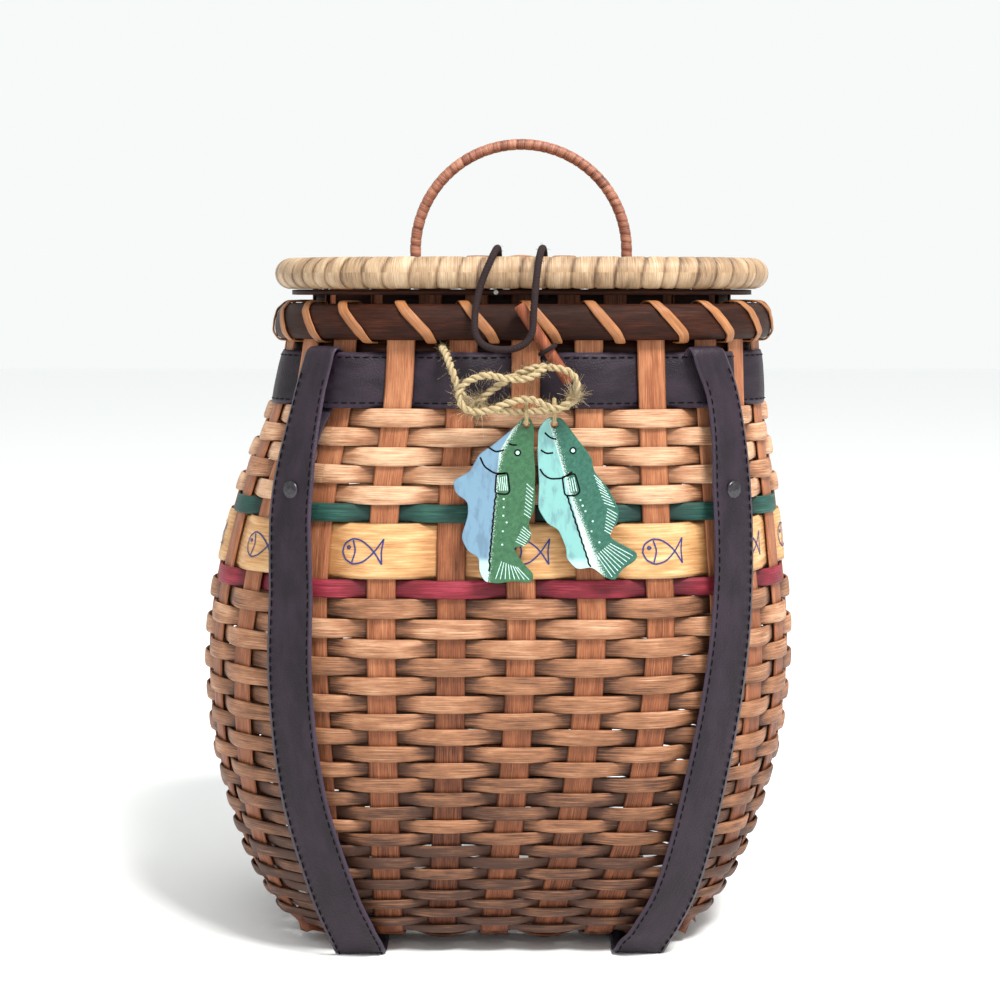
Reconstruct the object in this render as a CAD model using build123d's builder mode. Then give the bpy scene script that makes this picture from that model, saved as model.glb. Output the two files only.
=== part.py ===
"""Woven splint creel: a pack basket with a hinged woven lid, two straps and a toggle latch.

Millimetres. +Z is up, -Y is the front with the straps and the latch, and the lid hinges at
the back. The origin is on the floor, under the middle of the base.
"""
from build123d import *
from math import asin, cos, dist, floor, hypot, pi, radians, sin, tan
import os

# ---------------------------------------------------------------- wall form, as (height, size)
HALF_WIDTH = [(3, 75), (12, 83.5), (28, 94), (50, 103.2), (75, 110), (105, 113), (130, 111.6),
              (168, 104.8), (206, 94.8), (245, 89.5)]
HALF_DEPTH = [(3, 57.5), (12, 64), (28, 72), (50, 79), (75, 84), (105, 86.5), (130, 86),
              (168, 83), (206, 78.5), (245, 75.5)]
CORNER_RADIUS = [(3, 28), (28, 48), (75, 68), (120, 72), (206, 60), (245, 56)]
LEAN = [(3, -2.2), (66, -1.4), (138, 0.2), (173, 2.8), (209, 7.2), (245, 9.6)]
FRONT_PITCH = [(3, 19.4), (66, 23.5), (124, 25.4), (170, 24.6), (209, 23.2), (245, 22.6)]
SIDE_PITCH = [(3, 15.5), (66, 20.5), (124, 22), (170, 21.5), (209, 19.6), (245, 18.6)]
FRONT_SHIFT = [(3, 0), (8, 0), (66, 6), (124, 8), (170, 5), (209, 2), (245, 0)]

# ---------------------------------------------------------------- splints and weavers
STAKES_PER_FACE = 7
SPLINT_WIDTH = 10.6
SPLINT_THICK = 1.2
WEAVER_THICK = 1.0
WEAVE_CLEAR = 0.12
ROW_GAP = 0.35
BASE_WAVE = 2.2
MAT_CLEAR = 0.45
LOWER_ROWS = 24
LOWEST_PITCH = 3.4
TOP_PITCH = 7.35
REED_PITCH = 6.84
PRINTED_PITCH = 20.4
UPPER_ROWS = 5
ROWS_PER_STATION = 4
BAND_HEIGHT = 20.8
BAND_THICK = 1.2
FLATNESS = 1e-5

# ---------------------------------------------------------------- rim and its lashing
RIM_GAP = 4.0
RIM_HEIGHT = 13.6
RIM_THICK = 4.4
RIM_EDGE = 2.4
RIM_CHAMFER = 2.6
RIM_CLEAR = 0.95
INNER_RIM_THICK = 3.6
LASH_TURNS = 24
LASH_WIDTH = 3.6
LASH_THICK = 0.8
LASH_CLEAR = 0.75
LASH_SLANT = 11.0
CORNER_STEPS = 9

# ---------------------------------------------------------------- lid
LID_HALF_WIDTH = 89.5
LID_HALF_DEPTH = 75.5
LID_CORNER = 52.0
LID_SHIFT = 8.4
HOOP_RADIUS = 6.0
HOOP_FLAT = 2.5
HOOP_LIFT = 5.2
INNER_HOOP_OUT = 0.5
INNER_HOOP_IN = 6.5
LID_REST_GAP = 0.3
LID_PITCH = 17.0
LID_STRIP_WIDTH = 9.5
LID_STRIP_THICK = 1.0
LID_WAVE = 2.0
LID_DOME = 5.5
LID_STAKES = 9
LID_WEAVERS = 8
HANDLE_RADIUS = 42.1
HANDLE_THICK = 4.6
HANDLE_DEPTH = 5.4
PEG_RADIUS = 1.3
PEG_LENGTH = 22.0
HINGE_SPACING = 68.0
HINGE_WIDTH = 6.0
HINGE_THICK = 1.4
HINGE_CLEAR = 0.5
HINGE_STRIP_CUT = 3.4
LID_END_GAP = 0.3
PEG_GAP = 0.5
PEG_FIT = 0.1
ARCH_LIFT = 4.4

# ---------------------------------------------------------------- straps
STRAP_WIDTH = 19.0
STRAP_THICK = 1.8
STRAP_OFFSET = 6.1
STRAP_BAND_OFFSET = 7.6
TAIL_WIDTH = 9.0
TAIL_THICK = 1.2
TAIL_OFFSET = 5.8
TAIL_BEHIND = 1.8
BAND_RELIEF = 4.2
RIVET_RADIUS = 3.2
RIVET_CAP = 1.1
LEFT_STRAP = [(3, -52), (28, -60), (66, -72), (105, -76.5), (138, -75.5), (172, -74),
              (209, -68.5), (228, -66)]
RIGHT_STRAP = [(3, 51.5), (28, 65), (66, 75), (105, 82.5), (138, 85), (172, 83), (209, 81),
               (228, 80)]

STRAP_TAIL_OFFSET = 8.0
STRAP_END = 47.0
TAIL_TIP = 5.0
TAIL_END = 166.0
TAIL_BEND = 188.0
RIVET_HEIGHT = 176.0
RIVET_OFFSET = 8.0
RIVET_SEAT = 1.3
FOLD_CLEAR = 0.45
POST_RADIUS = 1.2
POST_LENGTH = 3.6
BASE_RIVET_LEFT = -49.8
BASE_RIVET_RIGHT = 47.0
BASE_HEAD_RADIUS = 2.6
BASE_HEAD = 0.9
WASHER_RADIUS = 5.0
WASHER_THICK = 0.9

# ---------------------------------------------------------------- latch, toggle, twine and tags
LATCH_RADIUS = 1.3
LATCH_ROUTE = [(-0.1, -66.5, 245.5), (-0.3, -66.5, 263.9), (-1.5, -84.5, 263.9), (-9.0, -85.6, 246),
               (-9.2, -90.5, 227.4), (11.6, -91.2, 227.4), (12.2, -90.6, 246.5), (14.5, -84.5, 263.9),
               (16.6, -66.5, 263.9), (16.7, -66.5, 245.5)]
TWINE_RADIUS = 1.1
TWINE_ROUTE = [(-21.5, -73, 228.2), (-19, -91.5, 227.2), (-13.5, -91, 205.2), (28, -91, 205.2),
               (27.5, -92.5, 221), (6, -94, 221.8), (-8, -95, 208.5)]
TOGGLE_PIVOT = (17.2, -86.0, 227.3)
TOGGLE_TILT = 33.0
TOGGLE_LENGTH = 33.6
TOGGLE_RADIUS = 2.15
TOGGLE_SHARE = 0.57
TOGGLE_CHAMFER = 0.4
TIE_RADIUS = 0.9
TIE_GAP = 0.3
TIE_LENGTH = 8.4
TAG_DEPTH = -91.0
TAG_THICK = 2.2
RING_RADIUS = 4.4
RING_WIRE = 0.8
EYE_CLEAR = 0.6
RING_STEPS = 18
RING_SIDES = 6
TACK_X = -1.5
TACK_RADIUS = 0.85
LEFT_EYE = (9.4, 205.2)
RIGHT_EYE = (19.4, 205.2)
LEFT_FISH = [(8.2, 203.2), (11, 203.2), (12.4, 199), (12, 192), (12.6, 185), (12.4, 170), (10, 165),
             (11.5, 160),
             (9, 157), (4.5, 156.5), (8, 151), (12.4, 146.5), (11, 143.5), (4.5, 144.5), (0, 143.5),
             (-5.5, 144), (-7.5, 148), (-7.5, 153), (-11.5, 155), (-14, 160), (-11.5, 168), (-11.5, 173),
             (-16, 176), (-17, 180.5), (-11, 183.5), (-7.5, 190), (-3, 193), (5.5, 200)]
RIGHT_FISH = [(17, 203.3), (22, 203.2), (28.5, 194.5), (33, 188.5), (33.5, 184), (39, 177.5),
              (42.5, 170.5),
              (42.5, 166), (39, 161.5), (40, 159.5), (49.5, 154.5), (49, 152), (43.5, 148.5), (41.5, 144.5),
              (38, 145.5), (33, 149.5), (27.5, 148.5), (23.5, 153), (24, 155.5), (21, 163), (17, 165),
              (13.6, 170.5), (14, 179.5), (13.4, 190), (13.6, 199)]

# ---------------------------------------------------------------- wall geometry


def smooth(keys, z):
    """Value at height z of the smooth curve through (height, value) keys, flat past its ends."""
    if z <= keys[0][0]:
        return keys[0][1]
    if z >= keys[-1][0]:
        return keys[-1][1]
    last = len(keys) - 1
    at = max(k for k in range(last) if keys[k][0] <= z)

    def slope(k):
        low = max(k - 1, 0)
        high = min(k + 1, last)
        return (keys[high][1] - keys[low][1]) / (keys[high][0] - keys[low][0])

    span = keys[at + 1][0] - keys[at][0]
    t = (z - keys[at][0]) / span
    return ((2 * t**3 - 3 * t**2 + 1) * keys[at][1] + (t**3 - 2 * t**2 + t) * span * slope(at)
            + (3 * t**2 - 2 * t**3) * keys[at + 1][1] + (t**3 - t**2) * span * slope(at + 1))


def on_plan(half_along, half_out, radius, s):
    """Point and turn of a rounded rectangle's side, at arc length s from the side's middle."""
    straight = half_along - radius
    if abs(s) <= straight:
        return s, half_out, 0.0
    side = 1 if s > 0 else -1
    turn = (abs(s) - straight) / radius
    return side * (straight + radius * sin(turn)), half_out - radius + radius * cos(turn), side * turn


def wall_frame(z, face, s):
    """Centre, tangent and outward normal of the wall at height z; faces go front, right, back, left."""
    a = smooth(HALF_WIDTH, z)
    b = smooth(HALF_DEPTH, z)
    radius = smooth(CORNER_RADIUS, z)
    along, out, turn = on_plan(*((a, b) if face % 2 == 0 else (b, a)), radius, s)
    heading = face * pi / 2
    tangent = Vector(cos(heading + turn), sin(heading + turn), 0)
    normal = Vector(sin(heading + turn), -cos(heading + turn), 0)
    middle = Vector(smooth(LEAN, z), 0, z)
    centre = middle + Vector(cos(heading), sin(heading), 0) * along
    centre += Vector(sin(heading), -cos(heading), 0) * out
    return centre, tangent, normal


def quarter(z):
    """Arc length of the wall from the middle of one face to the middle of the next."""
    straights = smooth(HALF_WIDTH, z) + smooth(HALF_DEPTH, z) - 2 * smooth(CORNER_RADIUS, z)
    return straights + smooth(CORNER_RADIUS, z) * pi / 2


def stake_arcs(z):
    """Arc lengths of all stakes round the wall, anticlockwise from the middle of the front."""
    middle = STAKES_PER_FACE // 2
    arcs = []
    for face in range(4):
        pitch = smooth(FRONT_PITCH if face % 2 == 0 else SIDE_PITCH, z)
        shift = smooth(FRONT_SHIFT, z) if face == 0 else 0
        arcs += [face * quarter(z) + j * pitch + shift for j in range(-middle, middle + 1)]
    return arcs


def around(z, arc):
    """Wall frame at an arc length measured all the way round from the middle of the front."""
    face = round(arc / quarter(z))
    return wall_frame(z, face, arc - face * quarter(z))


def row_frames(z):
    """Frames of a woven row's vertices: every stake, and one more in each corner's wider gap."""
    arcs = stake_arcs(z)
    frames = []
    for face in range(4):
        stakes = arcs[face * STAKES_PER_FACE:(face + 1) * STAKES_PER_FACE]
        following = arcs[((face + 1) * STAKES_PER_FACE) % len(arcs)]
        corner = (stakes[-1] + (following if face < 3 else following + 4 * quarter(z))) / 2
        frames += [around(z, arc) for arc in stakes + [corner]]
    return frames


def stake_number(vertex):
    """Number of the stake at a row's vertex, or None at a corner's middle vertex."""
    face, place = divmod(vertex, STAKES_PER_FACE + 1)
    return None if place == STAKES_PER_FACE else face * STAKES_PER_FACE + place


def lean_factor(z):
    """How much wider stock of one thickness looks when a leaning wall is cut level."""
    rise = 4.0
    low = max(z - rise, HALF_WIDTH[0][0])
    slope = (smooth(HALF_WIDTH, low + 2 * rise) - smooth(HALF_WIDTH, low)) / (2 * rise)
    return hypot(1, slope)


def weave_offsets(frames, parity, thick, factor, fixed):
    """How far each vertex of a woven row stands off the wall, so that the row clears every stake."""
    count = len(frames)
    need = (SPLINT_THICK / 2 + thick / 2 + WEAVE_CLEAR) * factor
    half = SPLINT_WIDTH / 2
    stakes = [stake_number(i) for i in range(count)]
    side = [0 if n is None else 1 if (n + parity) % 2 == 0 else -1 for n in stakes]
    offsets = [fixed.get(i, 2.5 * s) for i, s in enumerate(side)]
    for _ in range(6):
        for i in range(count):
            if i in fixed or side[i] == 0:
                continue
            centre, tangent, normal = frames[i]
            wanted = need
            for n in ((i - 1) % count, (i + 1) % count):
                other = frames[n][0] + frames[n][2] * offsets[n] - centre
                share = half / abs(other.dot(tangent))
                wanted = max(wanted, (need - side[i] * other.dot(normal) * share) / (1 - share))
            offsets[i] = side[i] * wanted
    return offsets


# ---------------------------------------------------------------- heights of rows and stations

MAT_MIDDLE = STRAP_THICK + MAT_CLEAR + BASE_WAVE + SPLINT_THICK / 2
MAT_TOP = MAT_MIDDLE + BASE_WAVE + SPLINT_THICK / 2
row_edges = [MAT_TOP + ROW_GAP]
for row in range(LOWER_ROWS):
    share = row / (LOWER_ROWS - 1)
    row_edges.append(row_edges[-1] + LOWEST_PITCH + (TOP_PITCH - LOWEST_PITCH) * share)
red_row = LOWER_ROWS
printed_row = red_row + 1
green_row = red_row + 2
band_row = green_row + UPPER_ROWS + 1
row_edges.append(row_edges[-1] + REED_PITCH)
row_edges.append(row_edges[-1] + PRINTED_PITCH)
for row in range(green_row, band_row):
    row_edges.append(row_edges[-1] + REED_PITCH)
row_edges.append(row_edges[-1] + BAND_HEIGHT)
RIM_BOTTOM = row_edges[-1] + RIM_GAP
RIM_TOP = RIM_BOTTOM + RIM_HEIGHT

stations = [MAT_MIDDLE] + [row_edges[k] for k in range(0, band_row, ROWS_PER_STATION)]
stations += [row_edges[band_row], row_edges[band_row + 1], RIM_TOP]
station_frames = [row_frames(z) for z in stations]
station_factors = [lean_factor(z) for z in stations]


def row_points(z, parity, thick, side, fixed):
    """Outline at height z of a woven row's outer (side 1) or inner (side -1) face."""
    at = max(k for k in range(len(stations) - 1) if stations[k] <= z + 0.001)
    share = (z - stations[at]) / (stations[at + 1] - stations[at])
    ends = []
    for k in (at, at + 1):
        offsets = weave_offsets(station_frames[k], parity, thick, station_factors[k], fixed)
        ends.append([frame[0] + frame[2] * (offset + side * thick / 2 * station_factors[k])
                     for frame, offset in zip(station_frames[k], offsets)])
    return [low * (1 - share) + high * share for low, high in zip(*ends)]


def flat_faces(a, b, c, d):
    """A quadrilateral as one face if it is flat, and otherwise as two triangles."""
    normal = (b - a).cross(c - a)
    if abs(normal.dot(d - a)) < FLATNESS * normal.length:
        return [Face(Wire.make_polygon([a, b, c, d]))]
    return [Face(Wire.make_polygon([a, b, c])), Face(Wire.make_polygon([a, c, d]))]


def faceted(sections, name, closed):
    """A solid with flat faces from each polygonal section to the next, in a ring or with flat ends.

    The second half of a section's sides is split the other way, so that both faces of a strip match.
    """
    faces = [] if closed else [Face(Wire.make_polygon(sections[0])), Face(Wire.make_polygon(sections[-1]))]
    following = sections[1:] + sections[:1] if closed else sections[1:]
    for here, there in zip(sections, following):
        for k in range(len(here)):
            corners = [here[k - 1], here[k], there[k], there[k - 1]]
            if 2 * k > len(here):
                corners = corners[1:] + corners[:1]
            faces += flat_faces(*corners)
    with BuildPart() as piece:
        add(Solid(Shell(faces)), clean=False)
    piece.part.label = name
    return piece.part


def ring_between(outer_levels, inner_levels, name):
    """A closed ring between its outlines from level to level, outside and inside."""
    return faceted([list(points) for points in zip(*outer_levels, *inner_levels[::-1])], name, True)


def woven_row(row, thick=WEAVER_THICK, fixed=None):
    """One round of flat reed, outside every second stake; odd rows start outside the next one."""
    low = row_edges[row] + ROW_GAP / 2
    high = row_edges[row + 1] - ROW_GAP / 2
    levels = [[row_points(z, row % 2, thick, side, fixed or {}) for z in (low, high)] for side in (1, -1)]
    return ring_between(levels[0], levels[1], "row")


def strip(sections, name):
    """A flat strip between rectangles given as (plane, width, thickness)."""
    corners = []
    for plane, width, thick in sections:
        corners.append([plane.from_local_coords(Vector(x * width / 2, y * thick / 2, 0))
                        for x, y in ((-1, -1), (1, -1), (1, 1), (-1, 1))])
    return faceted(corners, name, False)


def save(shape, name):
    """Label a finished piece and write its STEP file."""
    shape.label = name
    export_step(shape, f"parts/{name}.step")


os.makedirs("parts", exist_ok=True)

# ---------------------------------------------------------------- splints: 7 run front to back, 7 across


def wall_sections(face, place, forward):
    """Level sections of one stake from station to station, upwards if forward, else downwards."""
    vertex = face * (STAKES_PER_FACE + 1) + place
    sections = []
    for frames, factor in zip(station_frames[1:], station_factors[1:]):
        centre, tangent, normal = frames[vertex]
        plane = Plane(centre, x_dir=tangent * (1 if forward else -1), z_dir=(0, 0, 1 if forward else -1))
        sections.append((plane, SPLINT_WIDTH, SPLINT_THICK * factor))
    return sections if forward else sections[::-1]


def bend_section(face, place, forward):
    """Mitred section where a stake turns from the base mat into the wall."""
    vertex = face * (STAKES_PER_FACE + 1) + place
    centre, tangent, normal = station_frames[0][vertex]
    wall = (station_frames[1][vertex][0] - centre).normalized()
    outward = Vector(sin(face * pi / 2), -cos(face * pi / 2), 0)
    middle = (wall + outward).normalized() * (1 if forward else -1)
    half_turn = outward.get_angle(wall) / 2
    plane = Plane(centre, x_dir=tangent * (1 if forward else -1), z_dir=middle)
    return plane, SPLINT_WIDTH, SPLINT_THICK / cos(radians(half_turn))


def splint(face, place):
    """A splint that comes down the far wall, crosses the base mat and goes up the wall of face."""
    far = face + 2
    far_place = STAKES_PER_FACE - 1 - place
    per_face = STAKES_PER_FACE + 1
    start = station_frames[0][far * per_face + far_place][0]
    end = station_frames[0][face * per_face + place][0]
    heading = (end - start).normalized()
    cross_face = 1 - face
    sections = wall_sections(far, far_place, False) + [bend_section(far, far_place, False)]
    crossings = [station_frames[0][cross_face * per_face + k][0] for k in range(STAKES_PER_FACE)]
    crossings.sort(key=lambda point: (point - start).dot(heading))
    for k, crossing in enumerate(crossings):
        travel = (crossing - start).dot(heading)
        wave = BASE_WAVE * (1 if (k + place + face) % 2 == 0 else -1)
        origin = start + heading * travel + Vector(0, 0, wave)
        side = heading.cross(Vector(0, 0, 1))
        sections.append((Plane(origin, x_dir=side, z_dir=heading), SPLINT_WIDTH, SPLINT_THICK))
    sections += [bend_section(face, place, True)] + wall_sections(face, place, True)
    return strip(sections, f"splint_{place + 1}")


for face, name in ((0, "splints_lengthwise"), (1, "splints_crosswise")):
    save(Compound(children=[splint(face, k) for k in range(STAKES_PER_FACE)]), name)

# ---------------------------------------------------------------- woven rows

for name, rows in (("weavers_foot", range(0, LOWER_ROWS // 2)),
                   ("weavers_belly", range(LOWER_ROWS // 2, LOWER_ROWS)),
                   ("weavers_upper", range(green_row + 1, band_row))):
    save(Compound(children=[woven_row(row) for row in rows]), name)
for name, row in (("weaver_red", red_row), ("weaver_printed", printed_row), ("weaver_green", green_row)):
    save(woven_row(row), name)

front_left = 0
front_right = STAKES_PER_FACE - 1
relief = {front_left: BAND_RELIEF, front_right: BAND_RELIEF}
relief[front_right + 1] = BAND_RELIEF - 0.6
relief[len(station_frames[0]) - 1] = BAND_RELIEF - 0.6
save(woven_row(band_row, BAND_THICK, relief), "leather_band")

# ---------------------------------------------------------------- rim and its lashing


def wall_outline(z, offset):
    """Smooth rounded outline at height z, standing off the wall by an offset."""
    a = smooth(HALF_WIDTH, z) + offset
    b = smooth(HALF_DEPTH, z) + offset
    return rounded_outline(smooth(LEAN, z), a, b, smooth(CORNER_RADIUS, z) + offset, z)


def rounded_outline(middle_x, a, b, radius, z):
    """Corners of a rounded rectangle, each quarter turn in CORNER_STEPS chords."""
    points = []
    for face in range(4):
        heading = face * pi / 2 + pi / 4
        corner = Vector(middle_x + (a - radius) * (1 if face in (0, 1) else -1),
                        (b - radius) * (1 if face in (1, 2) else -1), z)
        for k in range(CORNER_STEPS + 1):
            turn = heading + (k / CORNER_STEPS - 0.5) * pi / 2 - pi / 2
            points.append(corner + Vector(cos(turn), sin(turn), 0) * radius)
    return points


rim_foot = SPLINT_THICK / 2 + RIM_CLEAR
rim_heights = [RIM_BOTTOM, RIM_BOTTOM + RIM_CHAMFER, RIM_TOP - RIM_CHAMFER, RIM_TOP]


def rim_hoop(side, edge, full, name):
    """One of the two bent splints that clamp the stakes' tops, half-round on its open face."""
    flat = [wall_outline(z, side * rim_foot) for z in (RIM_BOTTOM, RIM_TOP)]
    bellied = [wall_outline(z, side * (rim_foot + thick))
               for z, thick in zip(rim_heights, (edge, full, full, edge))]
    save(ring_between(bellied if side > 0 else flat, flat if side > 0 else bellied, name), name)


rim_hoop(1, RIM_EDGE, RIM_THICK, "rim_outer")
rim_hoop(-1, RIM_EDGE, INNER_RIM_THICK, "rim_inner")


def lash_gaps():
    """Arc lengths of the gaps that the lashing goes through: all but those at the hinge loops."""
    arcs = stake_arcs(RIM_BOTTOM)
    arcs.append(arcs[0] + 4 * quarter(RIM_BOTTOM))
    gaps = [(arcs[k] + arcs[k + 1]) / 2 for k in range(len(arcs) - 1)]
    back = 2 * quarter(RIM_BOTTOM)
    kept = sorted(gaps, key=lambda gap: -abs(gap - back))[:LASH_TURNS]
    return sorted(gap if gap > back else gap + 4 * quarter(RIM_BOTTOM) for gap in kept)


def lash_points():
    """Route of the lashing's middle: down over the outer hoop, through a gap, up inside, and on."""
    stand = LASH_CLEAR + LASH_THICK / 2
    outer = [(rim_foot + RIM_EDGE + stand / 2, RIM_TOP + stand),
             (rim_foot + RIM_THICK + stand, rim_heights[2]),
             (rim_foot + RIM_THICK + stand, rim_heights[1]),
             (rim_foot + RIM_EDGE + stand / 2, RIM_BOTTOM - stand)]
    inner = [(-rim_foot - RIM_EDGE - stand / 2, RIM_BOTTOM - stand),
             (-rim_foot - INNER_RIM_THICK - stand, rim_heights[1]),
             (-rim_foot - INNER_RIM_THICK - stand, rim_heights[2]),
             (-rim_foot - RIM_EDGE - stand / 2, RIM_TOP + stand)]
    gaps = lash_gaps()
    route = []
    for k, gap in enumerate(gaps):
        before = gaps[k - 1] if k > 0 else gap - smooth(FRONT_PITCH, RIM_BOTTOM)
        after = gaps[k + 1] if k + 1 < len(gaps) else gap + smooth(FRONT_PITCH, RIM_BOTTOM)
        lead_in = min(gap - before, LASH_SLANT * 2) / 2
        lead_out = min(after - gap, LASH_SLANT * 2) / 2
        for share, (offset, z) in zip((1, 0.75, 0.25, 0), outer):
            route.append(lash_point(gap - lead_in * share, offset, z))
        for share, (offset, z) in zip((0, 0.3, 0.7, 1), inner):
            route.append(lash_point(gap + lead_out * share, offset, z))
    return route


def lash_point(arc, offset, z):
    """A point off the wall at an arc length, and the wall's tangent there."""
    centre, tangent, normal = around(z, arc)
    return centre + normal * offset, tangent


def ribbon(route, width, thick, name):
    """A flat strip along (point, width direction) stations, mitred at every turn."""
    sections = []
    for k, (point, across) in enumerate(route):
        before = (point - route[max(k - 1, 0)][0]).normalized() if k > 0 else None
        after = (route[k + 1][0] - point).normalized() if k + 1 < len(route) else before
        before = before or after
        half_turn = before.get_angle(after) / 2
        plane = Plane(point, x_dir=across, z_dir=before + after)
        sections.append((plane, width, thick / cos(radians(half_turn))))
    return strip(sections, name)


def least_gap(route, width, thick):
    """Least distance between points on the faces of legs of a strip that lie half a turn or more apart."""
    legs = []
    for (start, across), (end, _) in zip(route, route[1:]):
        face = (end - start).cross(across).normalized() * (thick / 2)
        legs.append([tuple(start + (end - start) * (k / 6) + across * (edge * width / 2) + face * side)
                     for k in range(7) for edge in (-1, 0, 1) for side in (-1, 1)])
    return min(dist(p, q) for k, leg in enumerate(legs) for other in legs[k + 4:k + 14] for p in leg for q in other)


lash_route = lash_points()
lashing = ribbon(lash_route, LASH_WIDTH, LASH_THICK, "rim_lashing")
save(lashing, "rim_lashing")
print("lashing's least gap to itself", round(least_gap(lash_route, LASH_WIDTH, LASH_THICK), 2), "mm")

# ---------------------------------------------------------------- lid: hoops and woven top

HOOP_MIDDLE = RIM_TOP + HOOP_LIFT + HOOP_RADIUS
INNER_HOOP_BOTTOM = lashing.bounding_box().max.Z + LID_REST_GAP
INNER_HOOP_TOP = RIM_TOP + HOOP_LIFT - 0.15


def lid_outline(offset, z):
    """Outline of the lid at height z, standing off the middle of its thick hoop."""
    return rounded_outline(LID_SHIFT, LID_HALF_WIDTH + offset, LID_HALF_DEPTH + offset,
                           LID_CORNER + offset, z)


hoop_levels = [(-HOOP_RADIUS, HOOP_FLAT), (-HOOP_FLAT, HOOP_RADIUS), (HOOP_FLAT, HOOP_RADIUS),
               (HOOP_RADIUS, HOOP_FLAT)]
save(ring_between([lid_outline(out, HOOP_MIDDLE + rise) for rise, out in hoop_levels],
                  [lid_outline(-out, HOOP_MIDDLE + rise) for rise, out in hoop_levels],
                  "lid_hoop"), "lid_hoop")

hinge_places = [LID_SHIFT - HINGE_SPACING / 2, LID_SHIFT + HINGE_SPACING / 2]
under_levels = (INNER_HOOP_BOTTOM, INNER_HOOP_TOP)
under_ring = ring_between([lid_outline(-INNER_HOOP_OUT, z) for z in under_levels],
                          [lid_outline(-INNER_HOOP_IN, z) for z in under_levels], "lid_inner_hoop")
with BuildPart() as lid_inner_hoop:
    add(under_ring)
    notch_length = 4 * HOOP_RADIUS
    with Locations([(x, LID_HALF_DEPTH, INNER_HOOP_TOP) for x in hinge_places]):
        Box(HINGE_WIDTH + 2 * HINGE_THICK, notch_length, notch_length, mode=Mode.SUBTRACT)
save(lid_inner_hoop.part, "lid_inner_hoop")

lid_inner_width = LID_HALF_WIDTH - HOOP_RADIUS - LID_END_GAP
lid_inner_depth = LID_HALF_DEPTH - HOOP_RADIUS - LID_END_GAP
lid_inner_corner = LID_CORNER - HOOP_RADIUS - LID_END_GAP


def lid_reach(place, half_across, half_reach):
    """How far a strip may run inside the hoop when its outer edge lies at a place across."""
    edge = abs(place) + LID_STRIP_WIDTH / 2
    into_corner = edge - (half_across - lid_inner_corner)
    if into_corner <= 0:
        return half_reach
    return half_reach - lid_inner_corner + (lid_inner_corner**2 - into_corner**2) ** 0.5


def lid_height(x, y):
    """Middle surface of the domed weave, from the lid's middle."""
    across = max(0, 1 - (x / lid_inner_width) ** 2)
    deep = max(0, 1 - (y / lid_inner_depth) ** 2)
    return HOOP_MIDDLE + LID_DOME * across * deep


def centred(count, pitch):
    """Evenly spaced places about zero."""
    return [(k - (count - 1) / 2) * pitch for k in range(count)]


def lid_wave(at, first, parity):
    """Height of a strip's wave: a full one at each crossing, alternately up and down."""
    steps = (at - first) / LID_PITCH
    crossing = floor(steps)
    side = 1 if (crossing + parity) % 2 == 0 else -1
    return LID_WAVE * side * (1 - 2 * (steps - crossing))


def lid_strip(place, crossings, reach, low_reach, parity, lengthwise):
    """One strip of the lid's weave, waving over and under the strips that it crosses."""
    stops = [-low_reach] + [at for at in crossings if -low_reach < at < reach] + [reach]
    route = []
    for at in stops:
        x, y = (place, at) if lengthwise else (at, place)
        height = lid_height(x, y) + lid_wave(at, crossings[0], parity)
        route.append((Vector(LID_SHIFT + x, y, height), Vector(1, 0, 0) if lengthwise else Vector(0, 1, 0)))
    return ribbon(route, LID_STRIP_WIDTH, LID_STRIP_THICK, "strip")


stake_places = centred(LID_STAKES, LID_PITCH)
weaver_places = centred(LID_WEAVERS, LID_PITCH)
lid_strips = []
for k, place in enumerate(stake_places):
    reach = lid_reach(place, lid_inner_width, lid_inner_depth)
    at_hinge = min(abs(LID_SHIFT + place - x) for x in hinge_places) < HINGE_WIDTH
    back_reach = reach - HINGE_STRIP_CUT if at_hinge else reach
    lid_strips.append(lid_strip(place, weaver_places, back_reach, reach, k, True))
save(Compound(children=lid_strips), "lid_stakes")
lid_strips = []
for k, place in enumerate(weaver_places):
    reach = lid_reach(place, lid_inner_depth, lid_inner_width)
    lid_strips.append(lid_strip(place, stake_places, reach, reach, k + 1, False))
save(Compound(children=lid_strips), "lid_weavers")

# ---------------------------------------------------------------- hinge loops, fixed round the rim

wall_middle = smooth(HALF_DEPTH, (RIM_BOTTOM + RIM_TOP) / 2)
loop_height = RIM_HEIGHT + 2 * HINGE_CLEAR
loop_depth = 2 * rim_foot + RIM_THICK + INNER_RIM_THICK + 2 * HINGE_CLEAR
loop_middle = wall_middle + (RIM_THICK - INNER_RIM_THICK) / 2
hoop_reach = hypot(HOOP_RADIUS, HOOP_FLAT) + HINGE_CLEAR


def hinge_loop(x, name):
    """A flat loop that holds the lid's hoop to the rim and lets the hoop turn in it."""
    with BuildPart() as loop:
        for grow, mode in ((HINGE_THICK, Mode.ADD), (0, Mode.SUBTRACT)):
            with BuildSketch(Plane.YZ.offset(x)):
                with Locations((LID_HALF_DEPTH, HOOP_MIDDLE)):
                    Circle(hoop_reach + grow)
                with Locations((loop_middle, (RIM_BOTTOM + RIM_TOP) / 2)):
                    RectangleRounded(loop_depth + 2 * grow, loop_height + 2 * grow, 1 + grow)
                make_hull()
            extrude(amount=HINGE_WIDTH / 2, both=True, mode=mode)
    save(loop.part, name)


for x, name in zip(hinge_places, ("hinge_loop_left", "hinge_loop_right")):
    hinge_loop(x, name)

# ---------------------------------------------------------------- bail handle and its pegs

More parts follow.
